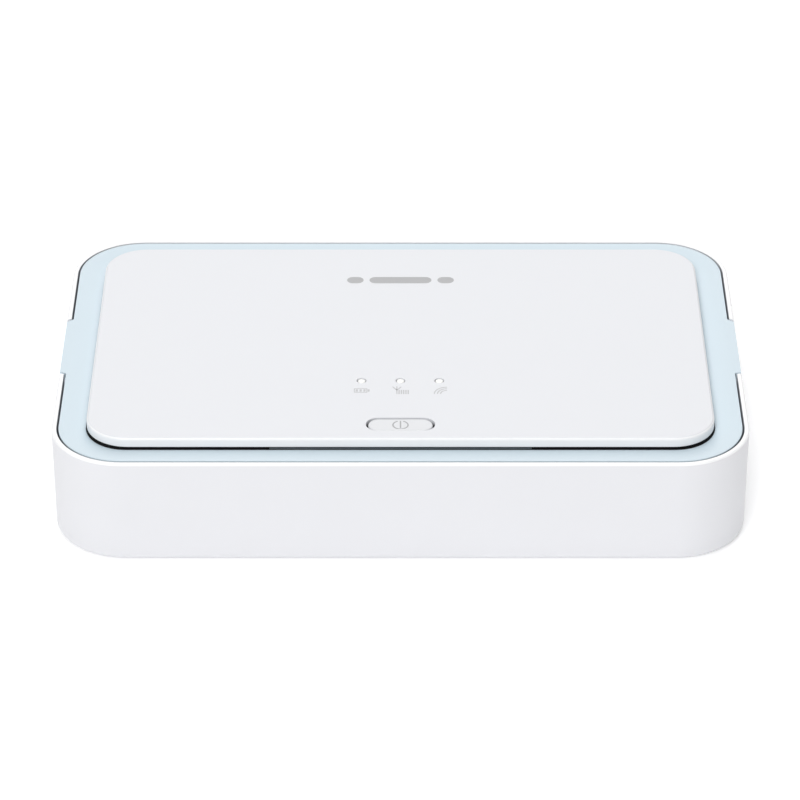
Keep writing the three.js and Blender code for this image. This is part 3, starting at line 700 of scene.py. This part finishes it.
class HotspotBackCover(bpy.types.Operator):
    """Models the white back cover: drafted tub, rounded rim, side notches, socket window, catches"""
    bl_idname = "hotspot.back_cover"
    bl_label = "Back cover"

    def execute(self, context):
        sizes = cover_sizes()
        low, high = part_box("back_cover")
        tub = rounded_block("cover_shell", low, high, sizes.corner_radius, CORNER_STEPS)
        round_edges(tub, at_height(high.z), sizes.rim_round, steps=4)
        round_edges(tub, at_height(low.z), sizes.fillet, steps=6)
        lean(tub, high.z / 2, sizes.draft)
        combine(tub, [self.space(low, high), *self.notches(high), self.window(high)], "DIFFERENCE")
        combine(tub, catches(sizes.catch_proud, sizes.catch_length, sizes.catch_height), "UNION")
        soften(tub, sizes.edge)
        material = moulded_plastic("cover_white", colours().cover, roughness=0.42,
                                   grain=0.35 * MM, relief=0.010 * MM)
        finish_piece(tub, "cover", material, ["back_cover"])
        # Painted highlight: the rim's top and its rounded outer edge get a lighter white, standing in for
        # the light that the rounded rim catches.
        rim_low = high.z - sizes.rim_round - TINY
        highlighted = moulded_plastic("rim_painted_highlight", colours().bright, roughness=0.25,
                                   grain=0.5 * MM, relief=0.0015 * MM)
        paint_faces(tub, highlighted, lambda centre, normal: centre.z > rim_low)
        return {"FINISHED"}

    def space(self, low, high):
        """The hollow of the tub, open at the top."""
        sizes = cover_sizes()
        inner_round = 0.35 * MM
        space = rounded_block("space", (low.x + sizes.wall, low.y + sizes.wall, sizes.floor),
                              (high.x - sizes.wall, high.y - sizes.wall, high.z + PAST),
                              sizes.corner_radius - sizes.wall, CORNER_STEPS)
        round_edges(space, at_height(sizes.floor), inner_round, steps=3)
        lean(space, high.z / 2, sizes.draft)
        return space

    def notches(self, high):
        """Cutters for the notch in each short side."""
        root = high.x - 2 * MM
        bottom = high.z - cover_sizes().notch_depth
        return [side_block("notch", side, high.x + PAST, root, bottom, high.z + PAST, frame_sizes().gap)
                for side in (-1, 1)]

    def window(self, high):
        """The cutter for the charging socket's window in the back wall."""
        sizes = cover_sizes()
        corner, depth = 1.5 * MM, 3 * MM
        port_low, port_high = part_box("usb_shell")
        return rounded_block(
            "window",
            (port_low.x - sizes.window_side, high.y - depth, port_low.z - sizes.window_end),
            (port_high.x + sizes.window_side, high.y + PAST, port_high.z + sizes.window_end),
            corner, steps=10, axis=1)


class HotspotMidFrame(bpy.types.Operator):
    """Models the pale blue mid frame: dished ring, side tongues, sunk deck, web, skirt, bosses and posts"""
    bl_idname = "hotspot.mid_frame"
    bl_label = "Mid frame"

    def execute(self, context):
        sizes, cover = frame_sizes(), cover_sizes()
        half_x, half_y = core_half()
        bottom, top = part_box("mid_frame")[0].z, ring_top()
        radius = cover.corner_radius - cover.wall - sizes.gap
        body = rounded_block("frame_shell", (-half_x, -half_y, bottom), (half_x, half_y, top), radius,
                             CORNER_STEPS)
        self.dish_ring(body, half_x, top)
        lean(body, (bottom + deck_top()) / 2, cover.draft)
        inner_x, inner_y = half_x - sizes.skirt, half_y - sizes.skirt
        under = rounded_block("under", (-inner_x, -inner_y, bottom - PAST),
                              (inner_x, inner_y, deck_top() - sizes.deck), radius - sizes.skirt,
                              CORNER_STEPS)
        combine(body, [under], "DIFFERENCE")
        combine(body, self.added_parts(half_x), "UNION")
        combine(body, self.openings(), "DIFFERENCE")
        soften(body, sizes.edge)
        seam_shade_high = rim_top() - sizes.seam_shade_top
        seam_shade_low = seam_shade_high - sizes.seam_shade_height
        # Painted shade: a dark colour on the frame's upright sides just under the rim, standing in for the
        # shade in the seam to the back cover; it also darkens the web's front under the plate.
        seam_shade = (0.20, 0.235, 0.26)
        material = plastic_with_seam_shade("frame_pale_blue", colours().ring, seam_shade, seam_shade_low, seam_shade_high,
                                  half_x + sizes.gap / 2)
        finish_piece(body, "core", material, ["mid_frame"])
        # Painted shade: the sunk deck's top under the plate is painted near black, so that the gap under
        # the plate's edge reads as deep shade.
        deck_painted_shade = moulded_plastic("deck_painted_shade", (0.015, 0.015, 0.017), roughness=0.8)
        paint_faces(body, deck_painted_shade, facing_up(deck_top()))
        return {"FINISHED"}

    def dish_ring(self, body, half_x, top):
        """Steps the top face down in a smooth dish that runs on under the plate, then cuts the deck."""
        sizes = frame_sizes()
        plate_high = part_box("top_plate")[1]
        reach_x, reach_y = plate_high.x + sizes.recess, plate_high.y + sizes.recess
        across = half_x - sizes.ring_flat - reach_x
        steps, steps_under = 10, 2
        select_parts(body, "FACE", facing_up(top))
        bpy.ops.mesh.inset(thickness=sizes.ring_flat, depth=0)
        depths = [sizes.ring_dish * (step / steps) ** sizes.dish_curve
                  for step in range(steps + steps_under + 1)]
        for before, after in zip(depths, depths[1:]):
            bpy.ops.mesh.inset(thickness=across / steps, depth=before - after)
        bpy.ops.object.mode_set(mode="OBJECT")
        radius = plate_sizes().corner_radius + sizes.recess
        pocket = rounded_block("pocket", (-reach_x, -reach_y, deck_top()), (reach_x, reach_y, top + PAST),
                               radius, CORNER_STEPS)
        combine(body, [pocket], "DIFFERENCE")

    def added_parts(self, half_x):
        """The side tongues, the web, the screw bosses and the posts over the heat spreader."""
        sizes = frame_sizes()
        overlap = 0.3 * MM
        root_x, side_x = half_x - overlap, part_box("mid_frame")[1].x
        tongue_low = rim_top() - sizes.tongue_thickness
        parts = [side_block("tongue", side, side_x, root_x, tongue_low, ring_top(), 0) for side in (-1, 1)]
        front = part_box("plate_gasket")[0].y
        web_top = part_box("plate_gasket")[1].z
        root_z = deck_top() - overlap
        parts.append(add_box("web", (-sizes.web_length / 2, front, root_z),
                             (sizes.web_length / 2, front + sizes.web_width, web_top)))
        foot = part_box("mid_frame")[0].z
        for i in SCREW_NUMBERS:
            low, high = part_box(f"screw_{i}")
            parts.append(add_rod("boss", (low + high) / 2, sizes.boss_radius, foot, root_z, sides=32))
        low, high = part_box("heat_spreader")
        inset = 3 * MM
        for x in (low.x + inset, high.x - inset):
            for y in (low.y + inset, high.y - inset):
                parts.append(add_rod("clamp", (x, y), sizes.post_radius, high.z + CLEARANCE, root_z,
                                     sides=32))
        return parts

    def openings(self):
        """Cutters for the button, the light pipes, the screws, the socket and the catches' grooves."""
        gap = frame_sizes().gap
        above, below = deck_top() + PAST, deck_top() - frame_sizes().deck - PAST
        low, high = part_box("power_button")
        cuts = [capsule_block("button_opening", (low + high) / 2, footprint(low, high, -gap, -gap),
                              below, above)]
        for name in LIGHTS:
            low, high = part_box(f"{name}_light_pipe")
            radius = PIPE_RADIUS + plate_sizes().window_gap
            cuts.append(add_rod("pipe_hole", (low + high) / 2, radius, below, above, sides=32))
        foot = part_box("mid_frame")[0].z
        for i in SCREW_NUMBERS:
            low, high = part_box(f"screw_{i}")
            cuts.append(add_rod("pilot", (low + high) / 2, PILOT_RADIUS, foot - PAST, high.z + PAST,
                                sides=24))
        low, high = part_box("usb_shell")
        outer, depth, corner = core_half()[1], 2 * MM, 1 * MM
        cuts.append(rounded_block("port", (low.x - gap, outer - depth, low.z - gap),
                                  (high.x + gap, outer + PAST, high.z + gap), corner, steps=10, axis=1))
        grow = 2 * gap
        cuts += catches(grow, cover_sizes().catch_length + grow, cover_sizes().catch_height + grow)
        return cuts


class HotspotTopPlate(bpy.types.Operator):
    """Models the floating top plate with its button hole and window holes"""
    bl_idname = "hotspot.top_plate"
    bl_label = "Top plate"

    def execute(self, context):
        sizes = plate_sizes()
        low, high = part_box("top_plate")
        top = plate_top()
        plate = rounded_block("plate_shell", low, (high.x, high.y, top), sizes.corner_radius, CORNER_STEPS)
        round_edges(plate, at_height(top), sizes.top_round, steps=5)
        round_edges(plate, at_height(low.z), sizes.low_round, steps=4)
        combine(plate, self.openings(low.z, top), "DIFFERENCE")
        soften(plate, sizes.hole_round, steps=3, limit=60)
        material = moulded_plastic("plate_white", colours().plate, roughness=0.34,
                                   grain=0.5 * MM, relief=0.0015 * MM)
        finish_piece(plate, "core", material, ["top_plate"])
        # Painted light: the plate's outer sides get a lighter white, which makes up for the shade that they
        # get from the ring close below.
        plate_side_painted_light = moulded_plastic("plate_side_painted_light", colours().bright, roughness=0.3,
                                     grain=0.5 * MM, relief=0.0015 * MM)
        paint_faces(plate, plate_side_painted_light, self.outer_side(high))
        return {"FINISHED"}

    def openings(self, bottom, top):
        """Cutters for the button's hole, the hollow round its flange, and the windows."""
        sizes = plate_sizes()
        below, above = bottom - PAST, top + PAST
        low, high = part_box("power_button")
        middle = (low + high) / 2
        hole_size = footprint(low, high, sizes.button_lip, sizes.button_lip)
        cuts = [capsule_block("button_hole", middle, hole_size, below, above, CORNER_STEPS),
                capsule_block("button_pocket", middle, footprint(low, high), below,
                              bottom + sizes.button_pocket, CORNER_STEPS)]
        for name in LIGHTS:
            low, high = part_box(f"{name}_light_pipe")
            cuts.append(add_rod("window", (low + high) / 2, sizes.window_radius, below, above))
        return cuts

    def outer_side(self, high):
        """A face test: the face belongs to the plate's outer side, within margin of its reach."""
        margin, steep = 2.2 * MM, 0.8

        def test(centre, normal):
            near_end = abs(centre.x) > high.x - margin or abs(centre.y) > high.y - margin
            return near_end and abs(normal.z) < steep
        return test


class HotspotPowerButton(bpy.types.Operator):
    """Models the long rounded power button with its flange and stem, and its printed power symbol"""
    bl_idname = "hotspot.power_button"
    bl_label = "Power button"

    def execute(self, context):
        sizes = plate_sizes()
        low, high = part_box("power_button")
        middle, top = (low + high) / 2, high.z
        cap_size = footprint(low, high, sizes.button_lip + sizes.button_end_gap,
                             sizes.button_lip + sizes.button_gap)
        plate_low, flange_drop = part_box("top_plate")[0].z, 0.1 * MM
        flange_top = plate_low - flange_drop
        flange_low = flange_top - sizes.button_flange
        cap = capsule_block("button_cap", middle, cap_size, flange_low, top, CORNER_STEPS)
        round_edges(cap, at_height(top), sizes.button_round, steps=5)
        self.sink_face(cap, top)
        flange = capsule_block("flange", middle, footprint(low, high), flange_low, flange_top, CORNER_STEPS)
        stem = add_rod("stem", middle, sizes.button_stem, low.z, flange_top - OVERLAP)
        combine(cap, [flange, stem], "UNION")
        smooth(cap, limit=40)
        material = moulded_plastic("button_white", colours().button, roughness=0.3,
                                   grain=0.4 * MM, relief=0.001 * MM)
        finish_piece(cap, "power_button", material, ["power_button"])
        # Painted shade: the flange and the stem under the plate are painted near black, so that the gap
        # round the button reads as shade.
        skirt = moulded_plastic("button_under_painted_shade", (0.012, 0.012, 0.014), roughness=0.6)
        paint_faces(cap, skirt, lambda centre, normal: centre.z < plate_low)
        self.symbol(middle, top - sizes.button_dish)
        return {"FINISHED"}

    def sink_face(self, cap, top):
        """Sinks the cap's face a little inside a flat edge and a short slope."""
        edge, slope = 0.12 * MM, 0.25 * MM
        select_parts(cap, "FACE", facing_up(top))
        bpy.ops.mesh.inset(thickness=edge, depth=0)
        bpy.ops.mesh.inset(thickness=slope, depth=-plate_sizes().button_dish)
        bpy.ops.object.mode_set(mode="OBJECT")

    def symbol(self, middle, face):
        """An open ring with a bar through its gap."""
        radius, stroke = 1.08 * MM, 0.2 * MM
        bar_down, bar_up = 0.75 * radius, 1.2 * radius
        opening = math.radians(22)
        ring = print_arc("power_ring", middle, radius, stroke, face, RIGHT_ANGLE + opening,
                         2 * math.pi - 2 * opening)
        bar = add_box("power_bar", (middle.x - stroke / 2, middle.y - bar_down, face),
                      (middle.x + stroke / 2, middle.y + bar_up, face + plate_sizes().print_height))
        symbol = join_all("power_symbol", [ring, bar])
        smooth(symbol)
        material = printed_ink("symbol_dark_grey", (0.42, 0.42, 0.43))
        finish_piece(symbol, "power_button", material)


def print_arc(name, centre, radius, stroke, z, start, sweep, steps=32):
    """A flat printed arc: a small upright rectangle spun about centre."""
    height = plate_sizes().print_height
    start_piece()
    bpy.ops.mesh.primitive_plane_add(size=1, location=(radius, 0, height / 2), rotation=(RIGHT_ANGLE, 0, 0))
    obj = bpy.context.object
    obj.name = name
    obj.scale = (stroke, height, 1)
    apply_place(obj)
    bpy.ops.object.mode_set(mode="EDIT")
    bpy.ops.mesh.select_all(action="SELECT")
    bpy.ops.mesh.spin(steps=steps, angle=-sweep, center=(0, 0, 0), axis=(0, 0, 1))
    bpy.ops.mesh.select_all(action="SELECT")
    bpy.ops.mesh.normals_make_consistent(inside=False)
    bpy.ops.object.mode_set(mode="OBJECT")
    obj.rotation_euler = (0, 0, start)
    obj.location = (centre[0], centre[1], z)
    apply_place(obj)
    return obj


class HotspotLightPipes(bpy.types.Operator):
    """Models the three milky light pipes that end in the plate's windows"""
    bl_idname = "hotspot.light_pipes"
    bl_label = "Light pipes"

    def execute(self, context):
        # The pipes' finish carries a faint painted glow.
        material = milky_lens_painted_glow("light_pipe")
        first_low, first_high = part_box(f"{LIGHTS[0]}_light_pipe")
        first = self.pipe(first_low, first_high)
        pipes = [first]
        for name in LIGHTS[1:]:
            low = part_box(f"{name}_light_pipe")[0]
            pipes.append(copy_piece(first, f"{name}_pipe", low - first_low))
        for name, pipe in zip(LIGHTS, pipes):
            finish_piece(pipe, "core", material, [f"{name}_light_pipe"])
        return {"FINISHED"}

    def pipe(self, low, high):
        """A rod with a rounded top, a flange under the plate and a thicker lower end."""
        sizes = plate_sizes()
        top_round, flange_thickness = 0.15 * MM, 0.55 * MM
        middle = (low + high) / 2
        flange_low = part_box("plate_gasket")[0].z
        radius = sizes.window_radius - sizes.window_gap
        pipe = add_rod(f"{LIGHTS[0]}_pipe", middle, radius, flange_low, high.z)
        round_edges(pipe, at_height(high.z), top_round, steps=4)
        flange = add_rod("flange", middle, (high.x - low.x) / 2, flange_low, flange_low + flange_thickness)
        lower = add_rod("lower", middle, PIPE_RADIUS, low.z, flange_low + OVERLAP)
        combine(pipe, [flange, lower], "UNION")
        smooth(pipe, limit=40)
        return pipe


class HotspotPlatePrint(bpy.types.Operator):
    """Lays the printed symbols on the plate: battery, signal and wireless symbols, and a plain mark"""
    bl_idname = "hotspot.plate_print"
    bl_label = "Printed symbols"

    def execute(self, context):
        material = printed_ink("symbol_grey", colours().symbol)
        symbols = {"battery": self.battery(), "signal": self.signal(), "wifi": self.wifi()}
        for name, strokes in symbols.items():
            symbol = join_all(f"{name}_symbol", strokes)
            smooth(symbol)
            finish_piece(symbol, "core", material)
        mark = join_all("plain_mark", self.mark())
        smooth(mark)
        finish_piece(mark, "core", printed_ink("mark_grey", colours().mark))
        return {"FINISHED"}

    def bar(self, low, high):
        """A printed bar between two corners on the plate."""
        top = plate_top()
        return add_box("bar", (low[0], low[1], top), (high[0], high[1], top + plate_sizes().print_height))

    def battery(self):
        """An outlined cell with a small terminal and three charge bars."""
        low_x, high_x, low_y, high_y = -6.75 * MM, -4.8 * MM, -15.2 * MM, -14.05 * MM
        stroke = 0.14 * MM
        outline = self.bar((low_x, low_y), (high_x, high_y))
        top = plate_top()
        hole = add_box("hole", (low_x + stroke, low_y + stroke, top - PAST),
                       (high_x - stroke, high_y - stroke, top + PAST))
        combine(outline, [hole], "DIFFERENCE")
        middle = (low_y + high_y) / 2
        nub_start, nub_end, nub_half = high_x + 0.05 * MM, high_x + 0.33 * MM, 0.28 * MM
        nub = self.bar((nub_start, middle - nub_half), (nub_end, middle + nub_half))
        bar_count, bar_start, bar_end = 3, 0.22, 0.78
        pitch = (high_x - low_x - 2 * stroke) / bar_count
        bars = [self.bar((low_x + stroke + (i + bar_start) * pitch, low_y + 2 * stroke),
                         (low_x + stroke + (i + bar_end) * pitch, high_y - 2 * stroke))
                for i in range(bar_count)]
        return [outline, nub, *bars]

    def signal(self):
        """A mast with two spread arms, and five level bars beside its foot."""
        foot, head, stroke = -15.6 * MM, -13.5 * MM, 0.16 * MM
        mast_x, fork = -0.52 * MM, -14.55 * MM
        mast = self.bar((mast_x - stroke / 2, foot), (mast_x + stroke / 2, head))
        arms = []
        reach, spread = 1.15 * MM, math.radians(32)
        for side in (-1, 1):
            arm = self.bar((-stroke / 2, 0), (stroke / 2, reach))
            arm.rotation_euler = (0, 0, -side * spread)
            arm.location = (mast_x, fork, 0)
            apply_place(arm)
            arms.append(arm)
        levels, first, pitch, thick, tall = 5, 0.22 * MM, 0.33 * MM, 0.2 * MM, 1.1 * MM
        starts = [mast_x + first + i * pitch for i in range(levels)]
        bars = [self.bar((x, foot), (x + thick, foot + tall)) for x in starts]
        return [mast, *arms, *bars]

    def wifi(self):
        """Three quarter arcs about one corner."""
        corner, stroke = (6.75 * MM, -15.55 * MM), 0.17 * MM
        radii = (0.95, 1.4, 1.85)
        return [print_arc("arc", corner, radius * MM, stroke, plate_top(), RIGHT_ANGLE, RIGHT_ANGLE,
                          steps=20) for radius in radii]

    def mark(self):
        """Three plain rounded bars in a row."""
        low = plate_top()
        high = low + plate_sizes().print_height
        middle_y, tall = 17.9 * MM, 1.9 * MM
        spans = ((-8.1, -5.6), (-4.7, 4.7), (5.6, 8.1))
        return [capsule_block("mark_bar", ((left + right) / 2 * MM, middle_y), ((right - left) * MM, tall),
                              low, high) for left, right in spans]


class HotspotScrews(bpy.types.Operator):
    """Turns one cross-head screw and copies it to the six places"""
    bl_idname = "hotspot.screws"
    bl_label = "Screws"

    def execute(self, context):
        material = drawn_metal("screw_steel", (0.55, 0.55, 0.56), roughness=0.3, stretch=(1.0, 1.0, 1.0))
        first_low, first_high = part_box("screw_1")
        screw = self.screw(first_low, first_high)
        screws = [screw]
        for i in SCREW_NUMBERS[1:]:
            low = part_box(f"screw_{i}")[0]
            screws.append(copy_piece(screw, f"screw_body_{i}", low - first_low))
        for i, obj in zip(SCREW_NUMBERS, screws):
            finish_piece(obj, "core", material, [f"screw_{i}"])
        return {"FINISHED"}

    def screw(self, low, high):
        """A screw that stands on its head, with a cross cut into the head from below."""
        head_radius, head_height, end_round, edge_round = 1.45 * MM, 0.9 * MM, 0.3 * MM, 0.04 * MM
        middle = (low + high) / 2
        head_top = low.z + head_height
        screw = add_rod("screw_body_1", middle, head_radius, low.z, head_top)
        round_edges(screw, at_height(low.z), end_round, steps=4)
        shank = add_rod("shank", middle, SHANK_RADIUS, head_top - OVERLAP, high.z, sides=32)
        round_edges(shank, at_height(high.z), end_round, steps=2)
        combine(screw, [shank], "UNION")
        reach, blade, depth = 0.9 * MM, 0.2 * MM, 0.5 * MM
        cross = [add_box("cross", (middle.x - x, middle.y - y, low.z - PAST),
                         (middle.x + x, middle.y + y, low.z + depth))
                 for x, y in ((reach, blade), (blade, reach))]
        combine(screw, cross, "DIFFERENCE")
        soften(screw, edge_round, limit=50)
        return screw


class HotspotBatteryPads(bpy.types.Operator):
    """Adds the three gold pads on the battery's end, level with the sprung contacts"""
    bl_idname = "hotspot.battery_pads"
    bl_label = "Battery pads"

    def execute(self, context):
        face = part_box("battery_end_cap")[1].x
        material = drawn_metal("pad_gold", (0.86, 0.64, 0.28), roughness=0.25)
        proud, grow, corner = 0.03 * MM, 0.5 * MM, 0.2 * MM
        for i in CONTACT_NUMBERS:
            low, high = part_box(f"battery_contact_{i}")
            pad = rounded_block(f"battery_pad_{i}", (face - proud, low.y - grow, low.z - grow / 2),
                                (face + proud, high.y + grow, high.z + grow / 2), corner, steps=6, axis=0)
            smooth(pad)
            finish_piece(pad, "battery_pack", material)
        return {"FINISHED"}


class HotspotBoardParts(bpy.types.Operator):
    """Sets out the small soldered parts on the board's underside, in the card bay"""
    bl_idname = "hotspot.board_parts"
    bl_label = "Small board parts"

    def execute(self, context):
        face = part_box("main_board")[0].z
        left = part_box("sim_socket_shell")[0].x
        behind_card = 3 * MM
        body = self.part(left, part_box("sim_card")[1].y + behind_card, face)
        parts = [body]
        columns, rows, pitch_x, pitch_y = 7, 4, 2.6 * MM, 3.4 * MM
        for i in range(columns):
            for j in range(rows):
                if i or j:
                    parts.append(copy_piece(body, "part", (i * pitch_x, j * pitch_y, 0)))
        group = join_all("board_small_parts", parts)
        material = moulded_plastic("part_ceramic", (0.25, 0.19, 0.14), roughness=0.5, grain=0.2 * MM)
        finish_piece(group, "core", material)
        return {"FINISHED"}

    def part(self, x, y, face):
        """A ceramic block with raised ends."""
        long, wide, tall, seat = 1.6 * MM, 0.8 * MM, 0.35 * MM, 0.02 * MM
        end_inset, end_length, edge_round = 0.06 * MM, 0.12 * MM, 0.05 * MM
        body = add_box("part", (x, y, face - tall), (x + long, y + wide, face - seat))
        select_parts(body, "FACE", lambda centre, normal: abs(normal.x) > FACING)
        bpy.ops.mesh.inset(thickness=end_inset, depth=0)
        bpy.ops.mesh.extrude_region_shrink_fatten(TRANSFORM_OT_shrink_fatten={"value": end_length})
        bpy.ops.object.mode_set(mode="OBJECT")
        soften(body, edge_round)
        return body


def refine(node, material, width):
    """Gives a CAD node its finish and, where width is not zero, rounds its edges with live modifiers."""
    nearly_flat, sharp = math.radians(1), math.radians(35)
    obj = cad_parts[node]
    obj.data.materials.clear()
    obj.data.materials.append(material)
    if not width:
        return
    weld = obj.modifiers.new("Weld", "WELD")
    weld.merge_threshold = TINY
    flat = obj.modifiers.new("Flatten", "DECIMATE")
    flat.decimate_type = "DISSOLVE"
    flat.angle_limit = nearly_flat
    bevel = obj.modifiers.new("Round", "BEVEL")
    bevel.width = width
    bevel.segments = 2
    bevel.limit_method = "ANGLE"
    bevel.angle_limit = sharp


class HotspotInnerFinishes(bpy.types.Operator):
    """Gives the CAD nodes that stay their finishes and rounded edges"""
    bl_idname = "hotspot.inner_finishes"
    bl_label = "Inner finishes"

    def execute(self, context):
        black = moulded_plastic("black_plastic", (0.02, 0.02, 0.022), roughness=0.5)
        steel = drawn_metal("sheet_steel", (0.62, 0.62, 0.63), roughness=0.28)
        gold = drawn_metal("contact_gold", (0.83, 0.62, 0.28), roughness=0.22)
        resin = moulded_plastic("chip_resin", (0.022, 0.022, 0.024), roughness=0.42)
        card = moulded_plastic("card_plastic", (0.05, 0.055, 0.07), roughness=0.4)
        foam = black_foam("gasket_black")
        housing = moulded_plastic("housing_white", (0.74, 0.75, 0.76), roughness=0.5,
                                  grain=0.4 * MM, relief=0.008 * MM)
        aluminium = drawn_metal("spreader_aluminium", (0.75, 0.76, 0.77), roughness=0.35)
        silicone = moulded_plastic("thermal_silicone", (0.33, 0.40, 0.47), roughness=0.8)
        finishes = [
            (housing, 0.12 * MM, ["inner_housing"]),
            (foam, 0.1 * MM, ["plate_gasket", "battery_cushion"]),
            (circuit_board("circuit_board"), 0.0, ["main_board"]),
            (battery_wrap("battery_can"), 0.35 * MM, ["battery"]),
            (ruled_label("label_paper"), 0.03 * MM, ["bay_label"]),
            (aluminium, 0.08 * MM, ["heat_spreader"]),
            (silicone, 0.1 * MM, ["thermal_pad"]),
            (milky_lens_painted_glow("led_body"), 0.06 * MM, [f"{name}_led" for name in LIGHTS]),
            (resin, 0.1 * MM, ["modem_chip", "wifi_chip", "power_chip", "power_inductor"]),
            (card, 0.06 * MM, ["sim_card", "memory_card"]),
            (steel, 0.08 * MM, ["modem_shield", "wifi_shield", "power_shield", "usb_shell",
                                "sim_socket_shell", "memory_socket_shell", "power_switch", "reset_switch",
                                "wifi_antenna"]),
            (gold, 0.06 * MM, [*(f"battery_contact_{i}" for i in CONTACT_NUMBERS),
                               "main_antenna", "second_antenna"]),
            (black, 0.1 * MM, ["led_light_shield", "usb_tongue", "main_antenna_carrier",
                               "second_antenna_carrier", "sim_socket_base", "memory_socket_base",
                               "battery_connector", "battery_end_cap", "power_switch_plunger",
                               "reset_switch_plunger"]),
        ]
        for material, width, nodes in finishes:
            for node in nodes:
                refine(node, material, width)
        return {"FINISHED"}


# ---------------------------------------------------------------------------------------------
# Stage
# ---------------------------------------------------------------------------------------------

class HotspotStageOperator(bpy.types.Operator):
    """Sets the pale floor, the even light, three soft lamps and the camera"""
    bl_idname = "hotspot.stage"
    bl_label = "Stage"

    def execute(self, context):
        self.floor()
        self.lights(context)
        self.camera(context)
        return {"FINISHED"}

    def floor(self):
        """A wide paper floor just under the hotspot, with a faint glow that keeps its shadows light."""
        side, drop, glow = 6.0, 0.02 * MM, 0.2
        start_piece()
        bpy.ops.mesh.primitive_plane_add(size=side, location=(0, 0, -drop))
        floor = bpy.context.object
        floor.name = "floor"
        apply_place(floor)
        material, tree, shader = start_material("floor_paper", colours().floor, roughness=0.9)
        vary_roughness(tree, shader, object_noise(tree, size=8 * MM), low=0.85, high=0.95)
        shader.inputs["Emission Color"].default_value = (1.0, 1.0, 1.0, 1.0)
        shader.inputs["Emission Strength"].default_value = glow
        floor.data.materials.append(material)

    def lights(self, context):
        """Even white light all round, and a soft lamp above, in front and behind."""
        stage = context.scene.hotspot_stage
        world = bpy.data.worlds.new("studio")
        world.use_nodes = True
        background = world.node_tree.nodes["Background"]
        background.inputs["Color"].default_value = (1.0, 1.0, 1.0, 1.0)
        background.inputs["Strength"].default_value = stage.sky
        context.scene.world = world
        self.lamp("top_softbox", (0.0, 0.1, 1.9), size=1.0, power=12.5)
        self.lamp("key_softbox", (-0.45, -1.36, 1.24), size=0.8, power=15.5)
        self.lamp("back_softbox", (0.0, 1.7, 1.05), size=1.4, power=8.0)

    def lamp(self, name, place, size, power):
        """A square soft lamp that looks at the hotspot."""
        bpy.ops.object.light_add(type="AREA", location=place)
        lamp = bpy.context.object
        lamp.name = name
        lamp.data.size = size
        lamp.data.energy = power
        aim = Vector((0, 0, 0)) - Vector(place)
        lamp.rotation_euler = aim.to_track_quat("-Z", "Y").to_euler()

    def camera(self, context):
        """The camera, straight in front and raised by the stage's elevation."""
        sensor_mm, nearest = 36, 10 * MM
        stage = context.scene.hotspot_stage
        aim = Vector((0, 0, stage.aim_height))
        back = Vector((0, -math.cos(stage.elevation), math.sin(stage.elevation)))
        bpy.ops.object.camera_add(location=aim + back * stage.distance)
        camera = bpy.context.object
        camera.name = "camera"
        camera.rotation_euler = (-back).to_track_quat("-Z", "Y").to_euler()
        camera.data.lens = stage.lens
        camera.data.sensor_width = sensor_mm
        camera.data.shift_x = stage.slide
        camera.data.shift_y = stage.rise
        camera.data.clip_start = nearest
        context.scene.camera = camera
        context.scene.view_settings.view_transform = "Standard"


# ---------------------------------------------------------------------------------------------
# Panel and registration
# ---------------------------------------------------------------------------------------------

OPERATORS = (
    HotspotBackCover,
    HotspotMidFrame,
    HotspotTopPlate,
    HotspotPowerButton,
    HotspotLightPipes,
    HotspotPlatePrint,
    HotspotScrews,
    HotspotBatteryPads,
    HotspotBoardParts,
    HotspotInnerFinishes,
    HotspotStageOperator,
)
GROUPS = {
    "hotspot_cover": HotspotCoverSizes,
    "hotspot_frame": HotspotFrameSizes,
    "hotspot_plate": HotspotPlateSizes,
    "hotspot_colours": HotspotColours,
    "hotspot_stage": HotspotStage,
}


class HotspotPanel(bpy.types.Panel):
    """Lists the hotspot's build steps and its sizes and colours"""
    bl_idname = "VIEW3D_PT_hotspot"
    bl_label = "Mobile hotspot"
    bl_space_type = "VIEW_3D"
    bl_region_type = "UI"
    bl_category = "Hotspot"

    def draw(self, context):
        """Draws a button for each step and a box of fields for each group of values."""
        for operator in OPERATORS:
            self.layout.operator(operator.bl_idname)
        for name, group in GROUPS.items():
            values = getattr(context.scene, name)
            box = self.layout.box()
            for field in group.__annotations__:
                box.prop(values, field)


def register():
    """Makes the classes known and adds their values to the scene."""
    for group in GROUPS.values():
        bpy.utils.register_class(group)
    for operator in OPERATORS:
        bpy.utils.register_class(operator)
    bpy.utils.register_class(HotspotPanel)
    for name, group in GROUPS.items():
        setattr(bpy.types.Scene, name, PointerProperty(type=group))


def unregister():
    """Takes the values and the classes away again."""
    for name in GROUPS:
        delattr(bpy.types.Scene, name)
    bpy.utils.unregister_class(HotspotPanel)
    for operator in reversed(OPERATORS):
        bpy.utils.unregister_class(operator)
    for group in GROUPS.values():
        bpy.utils.unregister_class(group)


def main():
    register()
    bpy.ops.hotspot.back_cover()
    bpy.ops.hotspot.mid_frame()
    bpy.ops.hotspot.top_plate()
    bpy.ops.hotspot.power_button()
    bpy.ops.hotspot.light_pipes()
    bpy.ops.hotspot.plate_print()
    bpy.ops.hotspot.screws()
    bpy.ops.hotspot.battery_pads()
    bpy.ops.hotspot.board_parts()
    bpy.ops.hotspot.inner_finishes()
    bpy.ops.hotspot.stage()


if __name__ == "__main__":
    main()
